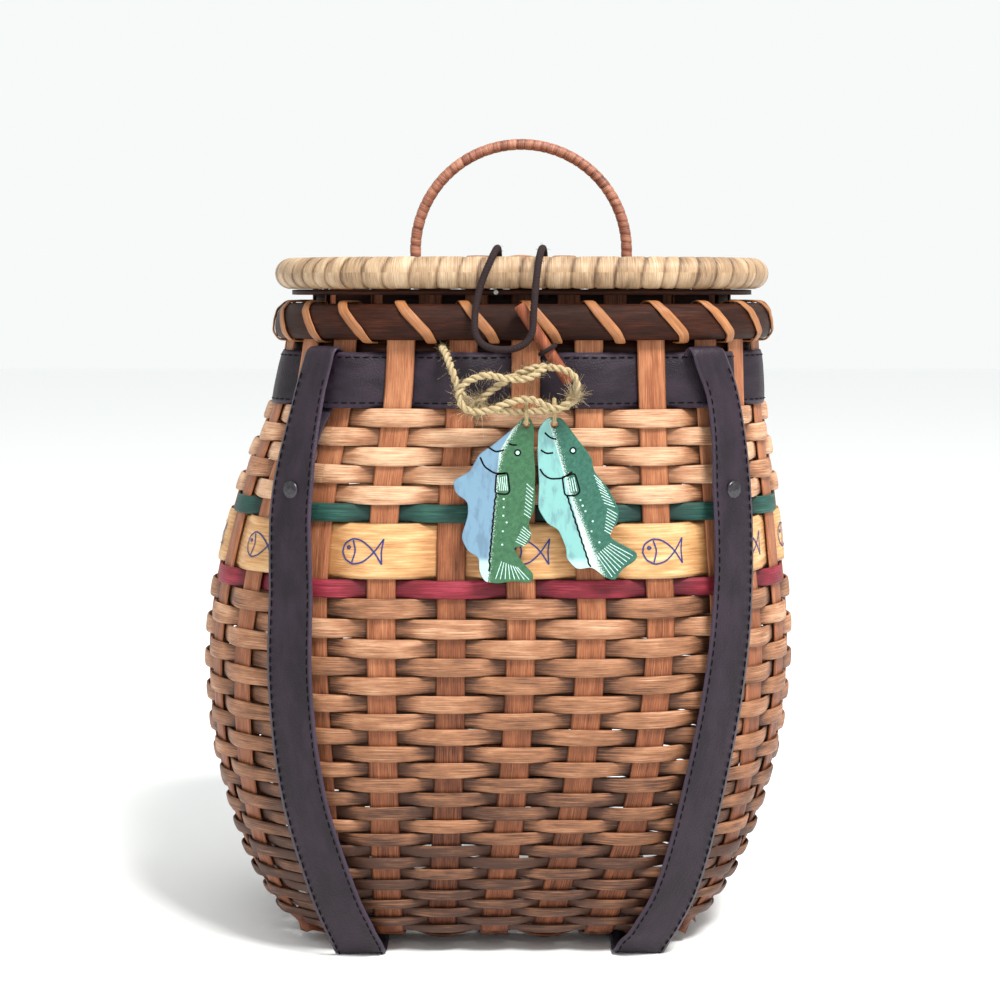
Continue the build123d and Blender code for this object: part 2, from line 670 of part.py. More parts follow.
lid_top = lid_height(HANDLE_RADIUS, 0)
to_stake = min(abs(HANDLE_RADIUS - place) for place in stake_places)
under_stake = to_stake < LID_STRIP_WIDTH / 2 + PEG_RADIUS
peg_wave = LID_WAVE if under_stake else abs(lid_wave(HANDLE_RADIUS, stake_places[0], 0))
peg_height = lid_top - peg_wave - LID_STRIP_THICK / 2 - PEG_GAP - PEG_RADIUS
arch_height = lid_top + ARCH_LIFT
foot_height = peg_height - 2 * PEG_RADIUS
with BuildPart() as handle:
    with BuildLine() as arch:
        Polyline((LID_SHIFT - HANDLE_RADIUS, 0, foot_height), (LID_SHIFT - HANDLE_RADIUS, 0, arch_height))
        ThreePointArc((LID_SHIFT - HANDLE_RADIUS, 0, arch_height),
                      (LID_SHIFT, 0, arch_height + HANDLE_RADIUS),
                      (LID_SHIFT + HANDLE_RADIUS, 0, arch_height))
        Polyline((LID_SHIFT + HANDLE_RADIUS, 0, arch_height), (LID_SHIFT + HANDLE_RADIUS, 0, foot_height))
    with BuildSketch(Plane(arch.line @ 0, x_dir=(1, 0, 0), z_dir=(0, 0, 1))):
        Rectangle(HANDLE_THICK, HANDLE_DEPTH)
        chamfer(vertices(), HANDLE_THICK / 4)
    sweep(path=arch.line)
    with Locations([Plane((x, 0, peg_height), z_dir=(0, 1, 0)) for x in
                    (LID_SHIFT - HANDLE_RADIUS, LID_SHIFT + HANDLE_RADIUS)]):
        Cylinder(PEG_RADIUS + PEG_FIT, 2 * HANDLE_DEPTH, mode=Mode.SUBTRACT)
save(handle.part, "handle")

with BuildPart() as handle_pegs:
    with Locations([Plane((x, 0, peg_height), z_dir=(0, 1, 0)) for x in
                    (LID_SHIFT - HANDLE_RADIUS, LID_SHIFT + HANDLE_RADIUS)]):
        Cylinder(PEG_RADIUS, PEG_LENGTH)
save(handle_pegs.part, "handle_pegs")

# ---------------------------------------------------------------- straps, folded over the leather band

band_low = row_edges[band_row]
band_high = row_edges[band_row + 1]
fold_height = band_high + FOLD_CLEAR + TAIL_THICK / 2


def arc_at(z, x):
    """Arc length from the front's middle of the wall point that lies at x."""
    radius = smooth(CORNER_RADIUS, z)
    straight = smooth(HALF_WIDTH, z) - radius
    aside = abs(x - smooth(LEAN, z))
    if aside > straight:
        aside = straight + radius * asin((aside - straight) / radius)
    return aside if x > smooth(LEAN, z) else -aside


def tail_arc(z, side):
    """Arc length of the strap's tail: between the last front stake and the corner's gap."""
    arcs = stake_arcs(z)
    stake = arcs[STAKES_PER_FACE - 1] if side > 0 else arcs[0]
    beyond = arcs[STAKES_PER_FACE] if side > 0 else arcs[-1] - 4 * quarter(z)
    return stake * 0.75 + beyond * 0.25


def strap_section(arc, z, offset, width, thick, direction):
    """A section of the strap off the wall; it runs up (1), outwards (0) or down (-1)."""
    centre, tangent, normal = around(z, arc)
    factor = lean_factor(z)
    heading = Vector(0, 0, direction) if direction else normal
    plane = Plane(centre + normal * offset * factor, x_dir=tangent, z_dir=heading)
    return plane, width, thick * (factor if direction else 1)


def strap(side, keys, name):
    """One strap in one piece: tail, fold over the band, front run and the run under the base."""
    strap_arc = arc_at(TAIL_END, smooth(keys, TAIL_END))
    sections = [strap_section(strap_arc, TAIL_END, TAIL_OFFSET, TAIL_TIP, TAIL_THICK, 1),
                strap_section(strap_arc * 0.4 + tail_arc(RIVET_HEIGHT, side) * 0.6, TAIL_BEND,
                              TAIL_OFFSET, TAIL_WIDTH, TAIL_THICK, 1),
                strap_section(tail_arc(band_low, side), band_low - REED_PITCH, TAIL_OFFSET, TAIL_WIDTH,
                              TAIL_THICK, 1),
                strap_section(tail_arc(band_low, side), band_low, TAIL_BEHIND, TAIL_WIDTH, TAIL_THICK, 1),
                strap_section(tail_arc(band_high, side), band_high, TAIL_BEHIND, TAIL_WIDTH, TAIL_THICK, 1)]
    top_arc = arc_at(band_high, smooth(keys, band_high))
    fold_arc = (tail_arc(band_high, side) + top_arc) / 2
    fold_offset = (TAIL_BEHIND + STRAP_BAND_OFFSET) / 2
    sections.append(strap_section(fold_arc, fold_height, fold_offset, TAIL_WIDTH, TAIL_THICK, 0))
    front_top = band_high - 1
    sections.append(strap_section(top_arc, front_top, STRAP_BAND_OFFSET, STRAP_WIDTH - 2, STRAP_THICK, -1))
    for z, offset in ((band_low, STRAP_BAND_OFFSET), (TAIL_BEND, STRAP_TAIL_OFFSET),
                      (TAIL_END, STRAP_TAIL_OFFSET)):
        sections.append(strap_section(arc_at(z, smooth(keys, z)), z, offset, STRAP_WIDTH, STRAP_THICK, -1))
    for z in [z for z in reversed(stations) if z < TAIL_END - STRAP_WIDTH / 2]:
        arc = arc_at(z, smooth(keys, z))
        sections.append(strap_section(arc, z, STRAP_OFFSET, STRAP_WIDTH, STRAP_THICK, -1))
    low, lower = sections[-2][0].origin, sections[-1][0].origin
    down = (lower - low).normalized()
    x = smooth(keys, 0)
    turn = lower + down * ((lower.Z - STRAP_THICK / 2) / -down.Z)
    turn_plane = Plane((x, turn.Y, STRAP_THICK / 2), x_dir=(1, 0, 0), z_dir=(0, down.Y + 1, down.Z))
    half_turn = Vector(0, down.Y, down.Z).get_angle(Vector(0, 1, 0)) / 2
    sections.append((turn_plane, STRAP_WIDTH, STRAP_THICK / cos(radians(half_turn))))
    end_plane = Plane((x, STRAP_END, STRAP_THICK / 2), x_dir=(1, 0, 0), z_dir=(0, 1, 0))
    sections.append((end_plane, STRAP_WIDTH, STRAP_THICK))
    with BuildPart() as leather:
        add(strip(sections, name))
        with Locations([Plane(place, z_dir=(0, 0, -1)) for place in base_rivet_places(side)]):
            CounterBoreHole(POST_RADIUS + PEG_FIT, BASE_HEAD_RADIUS + PEG_FIT, BASE_HEAD, 2 * STRAP_THICK)
        with Locations(rivet_plane(keys)):
            Cylinder(POST_RADIUS + PEG_FIT, 6 * STRAP_THICK, mode=Mode.SUBTRACT)
    save(leather.part, name)


def base_rivet_places(side):
    """Where a strap's two base rivets go: in gaps of the mat, at the strap's underside."""
    x = (BASE_RIVET_LEFT if side < 0 else BASE_RIVET_RIGHT)
    y = smooth(SIDE_PITCH, 0) * 2.5
    return [(x, -y, 0), (x, y, 0)]


def rivet_plane(keys):
    """Plane on a strap's front face at its rivet, looking outwards."""
    arc = arc_at(RIVET_HEIGHT, smooth(keys, RIVET_HEIGHT))
    centre, tangent, normal = around(RIVET_HEIGHT, arc)
    factor = lean_factor(RIVET_HEIGHT)
    return Plane(centre + normal * (RIVET_OFFSET * factor + RIVET_SEAT), x_dir=tangent, z_dir=normal)


def strap_rivet(keys, name):
    """A capped rivet through a strap and its tail."""
    with BuildPart(rivet_plane(keys)) as rivet:
        Cone(RIVET_RADIUS, RIVET_RADIUS * 0.7, RIVET_CAP, align=(Align.CENTER, Align.CENTER, Align.MIN))
        Cylinder(POST_RADIUS, POST_LENGTH, align=(Align.CENTER, Align.CENTER, Align.MAX))
    save(rivet.part, name)


def base_rivets(side, name):
    """Two flush rivets that hold a strap's lower run to the mat, with washers inside."""
    with BuildPart() as rivets:
        with Locations(base_rivet_places(side)):
            Cylinder(BASE_HEAD_RADIUS, BASE_HEAD - PEG_FIT, align=(Align.CENTER, Align.CENTER, Align.MIN))
            Cylinder(POST_RADIUS, MAT_TOP + WASHER_THICK, align=(Align.CENTER, Align.CENTER, Align.MIN))
        with Locations([(x, y, MAT_TOP + PEG_FIT) for x, y, z in base_rivet_places(side)]):
            Cylinder(WASHER_RADIUS, WASHER_THICK - PEG_FIT, align=(Align.CENTER, Align.CENTER, Align.MIN))
    save(rivets.part, name)


for side, keys, label in ((-1, LEFT_STRAP, "left"), (1, RIGHT_STRAP, "right")):
    strap(side, keys, f"{label}_strap")
    strap_rivet(keys, f"{label}_strap_rivet")
    base_rivets(side, f"{label}_base_rivets")

# ---------------------------------------------------------------- cords


def cord(points, radius, name):
    """A cord along a route of runs with tangent arcs, each as large as its two runs allow."""
    runs = [(Vector(end) - Vector(start)).length for start, end in zip(points, points[1:])]
    radii = []
    length = sum(runs)
    for k in range(1, len(points) - 1):
        before = Vector(points[k]) - Vector(points[k - 1])
        after = Vector(points[k + 1]) - Vector(points[k])
        half_turn = radians(before.get_angle(after)) / 2
        radii.append(0.45 * min(runs[k - 1], runs[k]) / tan(half_turn))
        length -= radii[-1] * (2 * tan(half_turn) - 2 * half_turn)
    with BuildPart() as tube:
        with BuildLine() as route:
            FilletPolyline(*points, radius=radii)
        with BuildSketch(Plane(route.line @ 0, z_dir=route.line % 0)) as section:
            RegularPolygon(radius, 8)
        sweep(path=route.line)
    print(f"{name}: {length:.1f} mm long, radii {[round(r, 1) for r in radii]},",
          f"volume {tube.part.volume:.1f} of {length * section.sketch.area:.1f}")
    save(tube.part, name)


def wire_ring(plane, radius, wire, name):
    """A closed ring of round cord about a plane's axis, in RING_STEPS straight steps."""
    sections = []
    for k in range(RING_STEPS):
        turn = 2 * pi * k / RING_STEPS
        section = []
        for corner in range(RING_SIDES):
            angle = 2 * pi * corner / RING_SIDES
            out = radius + wire * cos(angle)
            section.append(plane.from_local_coords(Vector(out * cos(turn), out * sin(turn), wire * sin(angle))))
        sections.append(section)
    return faceted(sections, name, True)


cord(LATCH_ROUTE, LATCH_RADIUS, "latch_cord")
cord(TWINE_ROUTE, TWINE_RADIUS, "twine_bow")

# ---------------------------------------------------------------- toggle

toggle_down = (sin(radians(TOGGLE_TILT)), 0, -cos(radians(TOGGLE_TILT)))
toggle_plane = Plane(TOGGLE_PIVOT, x_dir=(0, 1, 0), z_dir=toggle_down)
with BuildPart(toggle_plane) as toggle_peg:
    with Locations((0, 0, TOGGLE_LENGTH * (0.5 - TOGGLE_SHARE))):
        Cylinder(TOGGLE_RADIUS, TOGGLE_LENGTH)
    chamfer(toggle_peg.edges().filter_by(GeomType.CIRCLE), TOGGLE_CHAMFER)
save(toggle_peg.part, "toggle_peg")

wrap_radius = TOGGLE_RADIUS + PEG_FIT + TIE_RADIUS
save(wire_ring(toggle_plane, wrap_radius, TIE_RADIUS, "toggle_wrap"), "toggle_wrap")

tie_front = TOGGLE_PIVOT[1] + wrap_radius + TIE_RADIUS + TIE_GAP
with BuildPart() as toggle_cord:
    with BuildSketch(Plane((TOGGLE_PIVOT[0], tie_front, TOGGLE_PIVOT[2]), z_dir=(0, 1, 0))):
        Circle(TIE_RADIUS)
    extrude(amount=TIE_LENGTH)
    with Locations(Plane((TOGGLE_PIVOT[0], tie_front + TIE_LENGTH, TOGGLE_PIVOT[2]), z_dir=(0, 1, 0))):
        Cone(TIE_RADIUS, 2 * TIE_RADIUS, 2 * TIE_RADIUS)
save(toggle_cord.part, "toggle_cord")

# ---------------------------------------------------------------- fish tags on their rings


def fish_tag(outline, eye, name):
    """A flat wooden fish hung by its nose, with the eyelet that its ring goes through."""
    with BuildPart() as tag:
        with BuildSketch(Plane((0, TAG_DEPTH, 0), x_dir=(1, 0, 0), z_dir=(0, -1, 0))):
            with BuildLine():
                Polyline(outline, close=True)
            make_face()
            with Locations((eye[0], eye[1] - RING_RADIUS)):
                Circle(RING_WIRE + EYE_CLEAR, mode=Mode.SUBTRACT)
        extrude(amount=TAG_THICK / 2, both=True)
    save(tag.part, name)


def tag_ring(eye, name):
    """The ring of twine that ties a tag to the strand above it."""
    save(wire_ring(Plane((eye[0], TAG_DEPTH, eye[1]), z_dir=(1, 0, 0)), RING_RADIUS, RING_WIRE, name), name)


for outline, eye, label in ((LEFT_FISH, LEFT_EYE, "left"), (RIGHT_FISH, RIGHT_EYE, "right")):
    fish_tag(outline, eye, f"{label}_tag")
    tag_ring(eye, f"{label}_tag_ring")

# ---------------------------------------------------------------- tack beside the latch cord

tack_place = (TACK_X, -LID_HALF_DEPTH + INNER_HOOP_OUT - PEG_FIT, (INNER_HOOP_BOTTOM + INNER_HOOP_TOP) / 2)
with BuildPart() as cord_tack:
    with BuildSketch(Plane(tack_place, z_dir=(0, -1, 0))):
        Circle(TACK_RADIUS)
    extrude(amount=TACK_RADIUS / 2)
save(cord_tack.part, "cord_tack")
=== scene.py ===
"""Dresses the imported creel: woven reed, bound hoop, stitched straps, latch cord, twine and painted tags.

Sizes are in millimetres, as in the part's source, and each mesh is scaled to metres when it is made.
"""

import bpy
import numpy as np
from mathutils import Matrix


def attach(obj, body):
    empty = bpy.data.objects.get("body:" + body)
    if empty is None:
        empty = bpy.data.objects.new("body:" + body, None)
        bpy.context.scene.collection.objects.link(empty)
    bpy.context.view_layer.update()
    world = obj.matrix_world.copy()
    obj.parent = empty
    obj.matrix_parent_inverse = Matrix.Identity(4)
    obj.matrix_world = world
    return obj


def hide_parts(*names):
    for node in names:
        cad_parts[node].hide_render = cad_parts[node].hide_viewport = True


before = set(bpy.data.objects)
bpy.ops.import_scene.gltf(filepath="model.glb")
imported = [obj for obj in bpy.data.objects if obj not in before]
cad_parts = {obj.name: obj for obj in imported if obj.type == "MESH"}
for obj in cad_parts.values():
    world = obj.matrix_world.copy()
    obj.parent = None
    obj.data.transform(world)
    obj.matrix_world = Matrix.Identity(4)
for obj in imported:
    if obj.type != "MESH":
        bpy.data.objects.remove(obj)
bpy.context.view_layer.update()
MM = 0.001
rng = np.random.default_rng(11)

# ---------------------------------------------------------------- wall form, as (height, size)
HALF_WIDTH = [(3, 75), (12, 83.5), (28, 94), (50, 103.2), (75, 110), (105, 113), (130, 111.6),
              (168, 104.8), (206, 94.8), (245, 89.5)]
HALF_DEPTH = [(3, 57.5), (12, 64), (28, 72), (50, 79), (75, 84), (105, 86.5), (130, 86),
              (168, 83), (206, 78.5), (245, 75.5)]
CORNER_RADIUS = [(3, 28), (28, 48), (75, 68), (120, 72), (206, 60), (245, 56)]
LEAN = [(3, -2.2), (66, -1.4), (138, 0.2), (173, 2.8), (209, 7.2), (245, 9.6)]
FRONT_PITCH = [(3, 19.4), (66, 23.5), (124, 25.4), (170, 24.6), (209, 23.2), (245, 22.6)]
SIDE_PITCH = [(3, 15.5), (66, 20.5), (124, 22), (170, 21.5), (209, 19.6), (245, 18.6)]
FRONT_SHIFT = [(3, 0), (8, 0), (66, 6), (124, 8), (170, 5), (209, 2), (245, 0)]
SPLINT_WIDTH, SPLINT_THICK = 10.6, 1.2
BASE_WAVE, MAT_MIDDLE = 2.2, 5.05
RIM_BOTTOM, RIM_TOP = 230.28, 243.88
HOOP_MIDDLE = 255.08
LID_SHIFT = 8.4
LID_HALF_WIDTH, LID_HALF_DEPTH, LID_CORNER = 89.5, 75.5, 52.0
LID_PITCH = 17.0
LID_STRIP_HALF, LID_HOOP_INSIDE, LID_DOME, LID_WAVE = 4.75, 6.3, 5.5, 1.7
HINGE_SPACING, HINGE_WIDTH, HINGE_THICK = 68.0, 6.0, 1.4

# heights of the rounds' edges: 24 rounds widening upwards, then red, printed, green, 5 more and the band
LOWEST_PITCH, HIGHEST_PITCH, UPPER_PITCH, PRINTED_PITCH, BAND_PITCH = 3.4, 7.35, 6.84, 20.4, 20.8
RED, PRINTED, GREEN, BAND = 24, 25, 26, 32
edges = [8.2]
for k in range(RED):
    edges.append(edges[-1] + LOWEST_PITCH + (HIGHEST_PITCH - LOWEST_PITCH) * k / (RED - 1))
for pitch in [UPPER_PITCH, PRINTED_PITCH] + [UPPER_PITCH] * 6 + [BAND_PITCH]:
    edges.append(edges[-1] + pitch)


def smooth(keys, z):
    """Cubic through (height, value) keys, slope at key k = (v[k+1] - v[k-1]) / (h[k+1] - h[k-1])."""
    h, v = np.array(keys, float).T
    z = np.clip(z, h[0], h[-1])
    low = np.maximum(np.arange(len(h)) - 1, 0)
    high = np.minimum(np.arange(len(h)) + 1, len(h) - 1)
    slope = (v[high] - v[low]) / (h[high] - h[low])
    k = np.clip(np.searchsorted(h, z, side="right") - 1, 0, len(h) - 2)
    span = h[k + 1] - h[k]
    t = (z - h[k]) / span
    return ((2 * t**3 - 3 * t**2 + 1) * v[k] + (t**3 - 2 * t**2 + t) * span * slope[k]
            + (3 * t**2 - 2 * t**3) * v[k + 1] + (t**3 - t**2) * span * slope[k + 1])


def quarter(z):
    """Arc length of the wall from the middle of one face to the middle of the next."""
    return smooth(HALF_WIDTH, z) + smooth(HALF_DEPTH, z) - smooth(CORNER_RADIUS, z) * (2 - np.pi / 2)


def rounded(half_width, half_depth, radius, middle_x, z, arc):
    """Points, tangents and normals of a rounded rectangle at arc lengths from the front's middle."""
    q = half_width + half_depth - radius * (2 - np.pi / 2)
    face = np.rint(arc / q)
    s = arc - face * q
    even = face % 2 == 0
    along_half = np.where(even, half_width, half_depth)
    out_half = np.where(even, half_depth, half_width)
    straight = along_half - radius
    over = np.maximum(np.abs(s) - straight, 0) / radius
    side = np.sign(s)
    along = side * (np.minimum(np.abs(s), straight) + radius * np.sin(over))
    out = out_half - radius + radius * np.cos(over)
    heading = face * np.pi / 2
    turn = heading + side * over
    flat = np.zeros_like(turn)
    tangent = np.stack([np.cos(turn), np.sin(turn), flat], -1)
    normal = np.stack([np.sin(turn), -np.cos(turn), flat], -1)
    points = np.stack([middle_x + np.cos(heading) * along + np.sin(heading) * out,
                       np.sin(heading) * along - np.cos(heading) * out, flat + z], -1)
    return points, tangent, normal


def wall(z, arc):
    """Points, tangents and normals of the basket's wall at heights z and arc lengths arc."""
    z, arc = np.broadcast_arrays(np.asarray(z, float), np.asarray(arc, float))
    return rounded(smooth(HALF_WIDTH, z), smooth(HALF_DEPTH, z), smooth(CORNER_RADIUS, z),
                   smooth(LEAN, z), z, arc)


def stood_off(z, arc, d):
    """Points standing off the wall by d, and the wall's tangents there."""
    points, tangent, normal = wall(z, arc)
    return points + normal * np.broadcast_to(d, points.shape[:-1])[..., None], tangent


def vertex_arcs(z):
    """(n, 33) arc lengths at heights z: the seven stakes of each face, then the corner's middle."""
    z = np.atleast_1d(z)
    q = quarter(z)[:, None]
    columns = []
    for face in range(4):
        pitch = smooth(FRONT_PITCH if face % 2 == 0 else SIDE_PITCH, z)[:, None]
        shift = smooth(FRONT_SHIFT, z)[:, None] if face == 0 else 0
        columns.append(face * q + np.arange(-3, 4) * pitch + shift)
    following = columns[1:] + [columns[0] + 4 * q]
    blocks = []
    for stakes, after in zip(columns, following):
        blocks += [stakes, (stakes[:, -1:] + after[:, :1]) / 2]
    return np.concatenate(blocks + [following[-1][:, :1]], 1)


def arc_of(z, v):
    """Arc length at height z of the vertex coordinate v, from 0 to 32 once round."""
    table = vertex_arcs(z)
    k = np.clip(np.floor(v).astype(int), 0, 31)
    rows = np.arange(len(table))
    return table[rows, k] + (table[rows, k + 1] - table[rows, k]) * (v - k)


def unit(a):
    """Vectors of length one."""
    return a / np.maximum(np.linalg.norm(a, axis=-1, keepdims=True), 1e-9)


def tangents(points):
    """Vectors of length one along a line of points."""
    return unit(np.gradient(points, axis=0))


def squared(across, tangent):
    """Vectors of length one across a line, turned square to its tangents."""
    return unit(across - tangent * (across * tangent).sum(1, keepdims=True))


def ripple(v, period, count=5):
    """Smooth random wave of about unit size along v, repeating after period."""
    out = np.zeros_like(v)
    for k in range(1, count + 1):
        out += rng.normal() * np.cos(2 * np.pi * k * v / period + rng.uniform(0, 6.28)) / k**0.5
    return out / 2


# ---------------------------------------------------------------- meshes from grids of points

reports = []


def grid(points, uv, closed=(False, True), tone=0.0, caps=True):
    """One grid: points (n, m, 3), uv (n [+1 if closed], m [+1 if closed], 2) and a tone per row or one."""
    tone = np.asarray(tone, float)
    tone = tone if tone.ndim == 2 else tone.reshape(-1, 1)
    return {"p": points, "uv": uv, "closed": closed, "tone": tone, "caps": caps}


def add_piece(name, mesh, body, nodes=()):
    """An object of a mesh, riding on a body and taking the place of CAD nodes."""
    piece = bpy.data.objects.new(name, mesh)
    bpy.context.scene.collection.objects.link(piece)
    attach(piece, body)
    if nodes:
        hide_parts(*nodes)
    return piece


def build(name, grids, material, body, nodes=()):
    """One mesh object from grids, wound outwards by their volume's sign, riding on a body."""
    points, tones, loops, sizes, coords = [], [], [], [], []
    base = 0
    for g in grids:
        p = g["p"]
        n, m = p.shape[:2]
        close_n, close_m = g["closed"]
        rows, columns = (n if close_n else n - 1), (m if close_m else m - 1)
        i, j = np.meshgrid(np.arange(rows), np.arange(columns), indexing="ij")
        ni, nj = (i + 1) % n, (j + 1) % m
        quads = np.stack([i * m + j, ni * m + j, ni * m + nj, i * m + nj], -1).reshape(-1, 4)
        net = g["uv"]
        uv = np.stack([net[i, j], net[i + 1, j], net[i + 1, j + 1], net[i, j + 1]], 2).reshape(-1, 4, 2)
        flat = p.reshape(-1, 3)
        a, b, c, d = (flat[quads[:, k]] for k in range(4))
        volume = np.einsum("ij,ij->", a, np.cross(b, c)) + np.einsum("ij,ij->", a, np.cross(c, d))
        flip = volume < 0 and close_m
        if flip:
            quads, uv = quads[:, ::-1], uv[:, ::-1]
        loops.append((quads + base).ravel())
        sizes.append(np.full(len(quads), 4))
        coords.append(uv.reshape(-1, 2))
        if close_m and not close_n and g["caps"]:
            for row, reverse in ((0, flip), (n - 1, not flip)):
                ring = row * m + np.arange(m)
                ring = ring if reverse else ring[::-1]
                loops.append(ring + base)
                sizes.append(np.array([m]))
                coords.append(np.repeat(net[row, :1], m, 0))
        points.append(flat)
        tones.append(np.broadcast_to(g["tone"], (n, m)).ravel())
        base += len(flat)
    points, loops, sizes = np.concatenate(points), np.concatenate(loops), np.concatenate(sizes)
    mesh = bpy.data.meshes.new(name)
    mesh.vertices.add(len(points))
    mesh.vertices.foreach_set("co", (points * MM).ravel())
    mesh.loops.add(len(loops))
    mesh.loops.foreach_set("vertex_index", loops.astype(np.int32))
    mesh.polygons.add(len(sizes))
    mesh.polygons.foreach_set("loop_start", np.concatenate([[0], np.cumsum(sizes)[:-1]]).astype(np.int32))
    mesh.update(calc_edges=True)
    mesh.polygons.foreach_set("use_smooth", np.ones(len(sizes), bool))
    layer = mesh.uv_layers.new(name="UVMap")
    layer.data.foreach_set("uv", np.concatenate(coords).ravel())
    tone = mesh.attributes.new("tone", "FLOAT", "POINT")
    tone.data.foreach_set("value", np.concatenate(tones))
    mesh.materials.append(material)
    reports.append((name, int((sizes - 2).sum())))
    return add_piece(name, mesh, body, nodes)


def flat_section(thick, crown=0.15, power=6.0, places=(-1, -0.86, -0.45, 0, 0.45, 0.86, 1)):
    """Outline (w, t) of a strip: t = thick / 2 (1 - |w|^power)^0.5 (1 - crown w^2), w from -1 to 1."""
    w = np.array(places, float)
    t = thick / 2 * np.sqrt(np.maximum(1 - np.abs(w)**power, 0)) * (1 - crown * w**2)
    return np.concatenate([w, w[-2:0:-1]]), np.concatenate([t, -t[-2:0:-1]])


def net_uv(lengths, across):
    """UV net from lengths in mm along a piece, in units of 100 mm, and places across it."""
    return np.stack(np.broadcast_arrays(lengths[:, None] / 100, across[None, :]), -1)


def strip_uv(lengths, w, half, lane):
    """UV in units of 100 mm: along the strip, and across it from a lane of its own."""
    across = np.concatenate([w * half, [w[0] * half]]) / 100 + lane
    back = np.arange(len(across)) > len(w) / 2
    return net_uv(lengths, across + np.where(back, 0.31, 0))


def along(points, closed=False):
    """Running length of a line of points; a closed one gets its whole length as one entry more."""
    nxt = np.roll(points, -1, 0) if closed else points[1:]
    steps = np.linalg.norm(nxt - points[:len(nxt)], axis=1)
    return np.concatenate([[0], np.cumsum(steps)])


def resample(points, step, *others):
    """The line and the arrays beside it at even steps along the line."""
    s = along(points)
    at = np.linspace(0, s[-1], max(int(s[-1] / step), 2) + 1)
    return [np.stack([np.interp(at, s, a[:, k]) for k in range(a.shape[1])], 1) for a in (points, *others)]


def soften(a, times):
    """Three-point smoothing, repeated, with the ends kept."""
    for _ in range(times):
        a = a.copy()
        a[1:-1] = (a[:-2] + 2 * a[1:-1] + a[2:]) / 4
    return a


def sweep(points, across, half, thick, crown=0.15, lane=0.0, tone=0.0, power=6.0):
    """A strip of half width half (one or per point) along points, lying along the across vectors."""
    tangent = tangents(points)
    across = squared(across, tangent)
    up = np.cross(tangent, across)
    w, t = flat_section(1.0, crown, power)
    half = np.broadcast_to(np.asarray(half, float), len(points))
    thick = np.broadcast_to(np.asarray(thick, float), len(points))
    p = (points[:, None] + across[:, None] * (w[None, :, None] * half[:, None, None])
         + up[:, None] * (t[None, :, None] * thick[:, None, None]))
    return grid(p, strip_uv(along(points), w, half.mean(), lane), tone=tone)


# ---------------------------------------------------------------- materials


class Wire:
    """A node socket in a material's tree; arithmetic on it adds Math nodes."""

    def __init__(self, tree, socket):
        self.tree, self.socket = tree, socket

    def math(self, operation, *others):
        node = self.tree.nodes.new("ShaderNodeMath")
        node.operation = operation
        for k, value in enumerate((self, *others)):
            plug(self.tree, node.inputs[k], value)
        return Wire(self.tree, node.outputs[0])

    def __add__(self, other):
        return self.math("ADD", other)

    def __sub__(self, other):
        return self.math("SUBTRACT", other)

    def __rsub__(self, other):
        return self * -1.0 + other

    def __mul__(self, other):
        return self.math("MULTIPLY", other)

    def above(self, low, high):
        """0 below low, 1 above high, and smooth between."""
        node = self.tree.nodes.new("ShaderNodeMapRange")
        node.interpolation_type = "SMOOTHSTEP"
        plug(self.tree, node.inputs["Value"], self)
        node.inputs["From Min"].default_value = low
        node.inputs["From Max"].default_value = high
        return Wire(self.tree, node.outputs["Result"])


def plug(tree, socket, value):
    """Links a wire to an input, or sets the input's value."""
    if isinstance(value, Wire):
        tree.links.new(value.socket, socket)
    elif hasattr(value, "__len__") and len(value) == 3 and socket.type == "RGBA":
        socket.default_value = (*value, 1)
    else:
        socket.default_value = value


